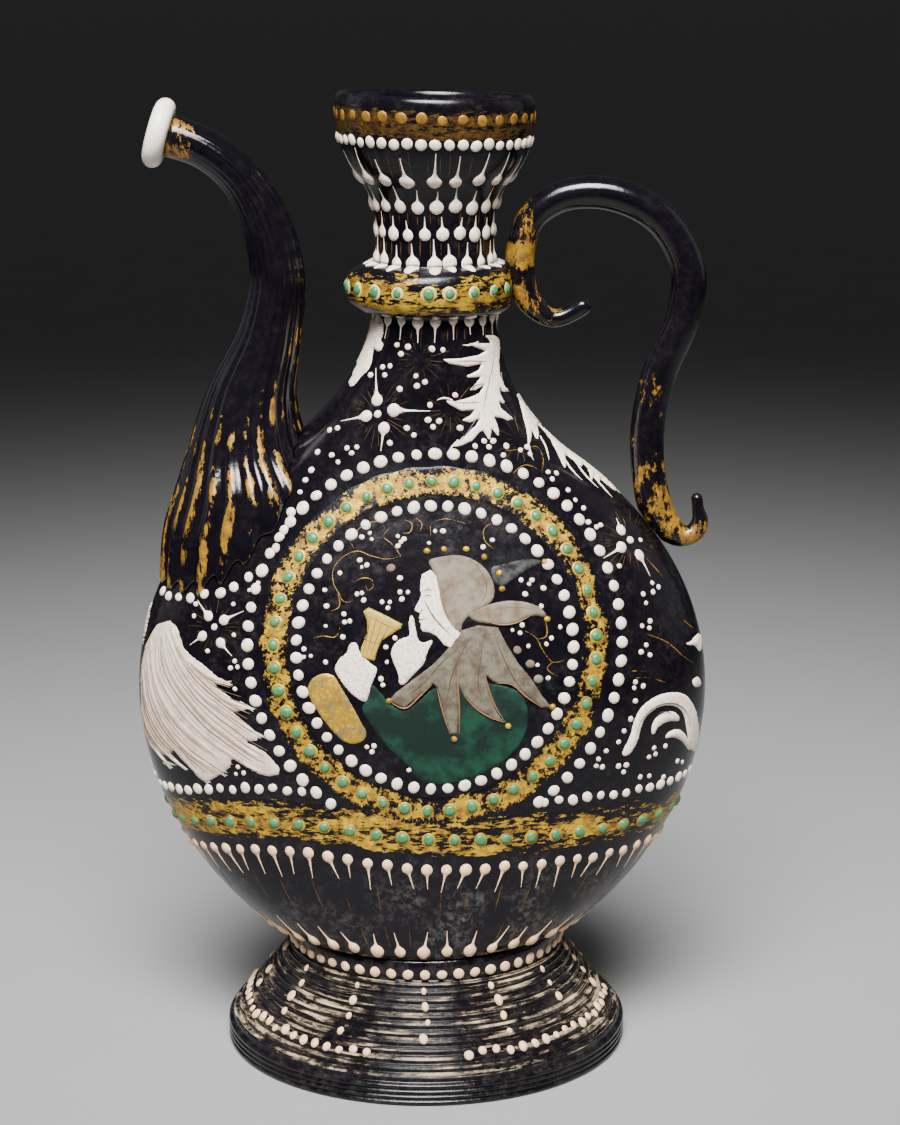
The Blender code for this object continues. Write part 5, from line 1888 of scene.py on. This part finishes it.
def decorate_wing():
    """The big feathered wing on the left, and the curled tail on the right."""
    wing, brown, tan = Relief(), Relief(), Relief()
    patch(wing, WING_OUTLINE, *WING_FIELD, False)
    patch(wing, WING_BEHIND, *WING_BEHIND_FIELD)
    for feathers in (WING_UPPER, WING_LOWER):
        for pixels, half in feathers:
            line_of(wing, pixels, half, FEATHER_RISE, FEATHER_ENDS)
        courses = [smooth_course(pixels, 24) for pixels, _ in feathers]
        for first, second in zip(courses[:-1], courses[1:]):
            for share in (0.2, 0.5, 0.8):
                start, end = draw.randint(0, 9), draw.randint(16, 25)
                middle = (first + (second - first) * share)[start:end]
                barbs = brown if share == 0.5 else tan
                line_of(barbs, middle, draw.uniform(*BARB_WIDTHS), BARB_RISE, (0.25, 0.25), 16)
        for course in courses:
            for _ in range(5):
                start = course[-4] + np.array((draw.uniform(-3.0, 2.0), draw.uniform(-3.5, 3.5)))
                end = course[-1] + np.array((draw.uniform(-1.0, 4.5), draw.uniform(-2.5, 3.5)))
                line_of(wing, (start, (start + end) / 2.0, end), *FEATHER_TIP_LINE, 6)
    wing.make("wing", enamel("wing_enamel", WING_WHITE, WING_WARM, 0.4, 0.0035), "white_enamel")
    brown.make("wing_lines", LINE_BROWN, "grey_enamel", BARB_LIFT)
    tan.make("wing_tints", LINE_TAN, "grey_enamel", BARB_LIFT)
    fields("curled_tail", CURL_OUTLINES, CURL_FIELD, ENAMEL_WHITE, "white_enamel")
    lines("tail_lines", CURL_LINES, CREASE_LINE, LINE_DARK, lift=CREASE_LIFT)


def on_face(places):
    """Places of the plain face, from thirds of its height to the picture's pixels."""
    x, y = FACE_PLACE
    return [(x - forward * FACE_THIRD, y + down * FACE_THIRD) for forward, down in places]


def decorate_figure():
    """A hooded figure in a dagged collar and a green coat, with a goblet in one hand."""
    fields("figure_coat", [COAT], COAT_FIELD, COAT_GREEN, "green_enamel")
    sleeve_gold = gilding("sleeve_gold", 0.70, COLLAR_GREY, SLEEVE_OLIVE, SLEEVE_GOLD)
    fields("figure_sleeve", [SLEEVE], SLEEVE_FIELD, sleeve_gold, "gilding")
    skin = Relief()
    patch(skin, on_face(FACE_PROFILE), *FACE_FIELD, False)
    for outline in (HAND_RAISED, HAND_ROUND_GOBLET):
        patch(skin, outline, *HAND_FIELD)
    skin.make("figure_face_and_hands", enamel("skin_enamel", WHITE, SPECKLE, 0.4, 0.0007), "white_enamel")
    collar = enamel("collar_enamel", COLLAR_GREY, COLLAR_BROWN, 0.6, 0.0035, 0.40, 0.60, 0.2)
    fields("figure_collar", [COLLAR], COLLAR_FIELD, collar, "grey_enamel", False)
    cloth = Relief()
    patch(cloth, HOOD, *HOOD_FIELD)
    patch(cloth, EAR_LOWER, *EAR_FIELD)
    cloth.make("figure_hood", CLOTH_GREY, "grey_enamel")
    fields("figure_upper_ear", [EAR_UPPER], THIN_EAR_FIELD, CLOTH_THIN, "grey_enamel")
    lines("figure_hems", HEM_LINES, HEM_LINE, LINE_TAN, lift=HEM_LIFT)
    lines("figure_folds", FOLD_LINES, FOLD_LINE, LINE_BROWN, lift=FOLD_LIFT)
    features = [on_face(line) for line in FACE_LINES]
    lines("figure_face_lines", features, FACE_LINE, LINE_BROWN, lift=FACE_LIFT, steps=8)
    lines("goblet_lines", GOBLET_CUTS, GOBLET_CUT, LINE_BROWN, lift=GOBLET_LIFT)
    goblet = Relief()
    patch(goblet, GOBLET, *GOBLET_FIELD, False)
    for pixels in GOBLET_RINGS:
        line_of(goblet, pixels, *GOBLET_RING)
    goblet.make("figure_goblet", enamel("goblet_enamel", GOBLET_GOLD, OCHRE, 0.35, 0.0012), "gilding")
    bells = Relief()
    dots_at(bells, BELLS, BELL_DOT, 0.1, 0.8)
    bells.make("figure_bells", GOLD_DOTS, "gilding")


def decorate_panel_ground():
    """Small white and grey dots round the figure."""
    white = Relief()
    dots_at(white, PANEL_DOTS, PANEL_DOT, 0.2)
    white.make("panel_dots", ENAMEL_WHITE, "white_enamel")
    grey = Relief()
    dots_at(grey, PANEL_GREY_DOTS, PANEL_GREY_DOT)
    grey.make("panel_grey_dots", CLOTH_GREY, "grey_enamel")


def decorate_gold_lines():
    """Thin lines of gold: scrolls in the panel, rays on the shoulder and streaks between the drops."""
    faint = Relief()
    for height, count, length in STREAK_ROWS:
        for angle in level_angles(height, count, 0.5):
            if draw.random() < STREAK_SHARE:
                turned = angle + draw.uniform(-0.02, 0.02)
                levels = np.linspace(height, height + length * jitter(0.3), 6)
                widths = STREAK_WIDTH * np.array(STREAK_TAPER) * jitter(0.3)
                stroke(faint, surface(turned, levels)[0], widths, widths * STREAK_RISE)
    for middle, count, inner, outer in RAY_CENTRES:
        for turn in range(count):
            angle = math.tau * (turn + draw.uniform(-0.25, 0.25)) / count
            reach = np.linspace(inner * jitter(0.2), outer * jitter(0.25), 6)
            pixels = [(middle[0] + r * math.cos(angle), middle[1] + r * math.sin(angle)) for r in reach]
            line_of(faint, pixels, *RAY_LINE, 6)
    faint_gold = gilding("faint_gold", 0.66, GLASS, BAND_BROWN, GOLD_BROWN, pale=GOLD_BROWN)
    faint.make("faint_gold_lines", faint_gold, "gilding")
    gold = gilding("gold_line", 0.70, GLASS, GOLD_BROWN, OCHRE)
    lines("gold_lines", PANEL_SCROLLS + BODY_SCROLLS, SCROLL_LINE, gold, "gilding", steps=40)


def decorate_back():
    """A plainer finish behind: a large flower in the panel, and flowers and clusters on the shoulder."""
    white = Relief()
    dome(white, panel_place(PANEL_X, PANEL_HEIGHT, 1), BACK_MIDDLE)
    for turn in range(8):
        angle = math.tau * turn / 8.0
        near, far, size = BACK_PETALS[turn % 2]
        drop(white, from_panel_middle(near, angle, 1), from_panel_middle(far, angle, 1), size)
        for reach in BACK_CLUSTER_REACHES:
            x, _, z = from_panel_middle(reach, angle + math.pi / 8.0, 1)
            cluster(white, x, z, BACK_PANEL_CLUSTER_DOT)
    for x, z, size in BACK_FLOWERS:
        dome(white, panel_place(x, z, 1), BACK_FLOWER_MIDDLE)
        for turn in range(4):
            angle = math.tau * (turn + 0.5) / 4.0
            head = panel_place(x + BACK_HEAD * math.cos(angle), z + BACK_HEAD * math.sin(angle), 1)
            tail = panel_place(x + size * math.cos(angle), z + size * math.sin(angle), 1)
            drop(white, head, tail, BACK_FLOWER_DROP)
    for x, z in BACK_CLUSTERS:
        cluster(white, x, z, BACK_CLUSTER_DOT)
    for place in seen(SPOUT_BASE_DOTS):
        dome(white, place * (1.0, -1.0, 1.0), SPOUT_BASE_DOT * jitter(0.12), stretch=jitter(0.08))
    white.make("back_enamel", ENAMEL_WHITE, "white_enamel")


build_body_glass(dark_glass("body_dark_glass"))
build_foot_glass(ribbed_glass("foot_dark_glass"))
build_spout_glass(dark_glass("spout_dark_glass", (1.0, 1.0, 0.22), 0.10, 0.24, 0.5))
build_handle_glass(dark_glass("handle_dark_glass", (1.0, 1.0, 0.45), 0.13, 0.26, 0.4))
build_lip_glass(enamel("lip_white_glass", LIP_WHITE, WHITE, 0.22))
build_camera()
build_studio()

ENAMEL_WHITE = enamel("white_enamel", WHITE, WHITE_WARM)
ENAMEL_CREAM = enamel("cream_enamel", CREAM, PEACH)
ENAMEL_PEACH = enamel("peach_enamel", PEACH, PEACH_AGED, 0.45)
ENAMEL_GREEN = enamel("green_enamel", GREEN, GREEN_PALE, 0.28)
COAT_GREEN = enamel("coat_enamel", COAT_BRIGHT, COAT_DARK, 0.5, 0.009, 0.37, 0.53, 0.12)
CLOTH_GREY = enamel("cloth_enamel", HOOD_GREY, HOOD_BROWN, 0.6, 0.004, 0.42, 0.62, 0.2)
CLOTH_THIN = enamel("thin_cloth_enamel", THIN_GREY, GLASS, 0.5, 0.003, 0.45, 0.62, 0.2)
LINE_DARK = enamel("dark_line", *LINE_COLOURS)
LINE_BROWN = enamel("brown_line", *BROWN_COLOURS)
LINE_TAN = enamel("tan_line", *TAN_COLOURS)
GOLD_DOTS = gilding("gold_dots", 0.60, GLASS, GOLD_BROWN, GOLD)
decorate_neck()
decorate_belt()
decorate_foot()
decorate_panel(-1, "front_panel")
decorate_panel(1, "back_panel")
decorate_panel_ground()
decorate_figure()
decorate_shoulder()
decorate_wing()
decorate_gold_lines()
decorate_back()
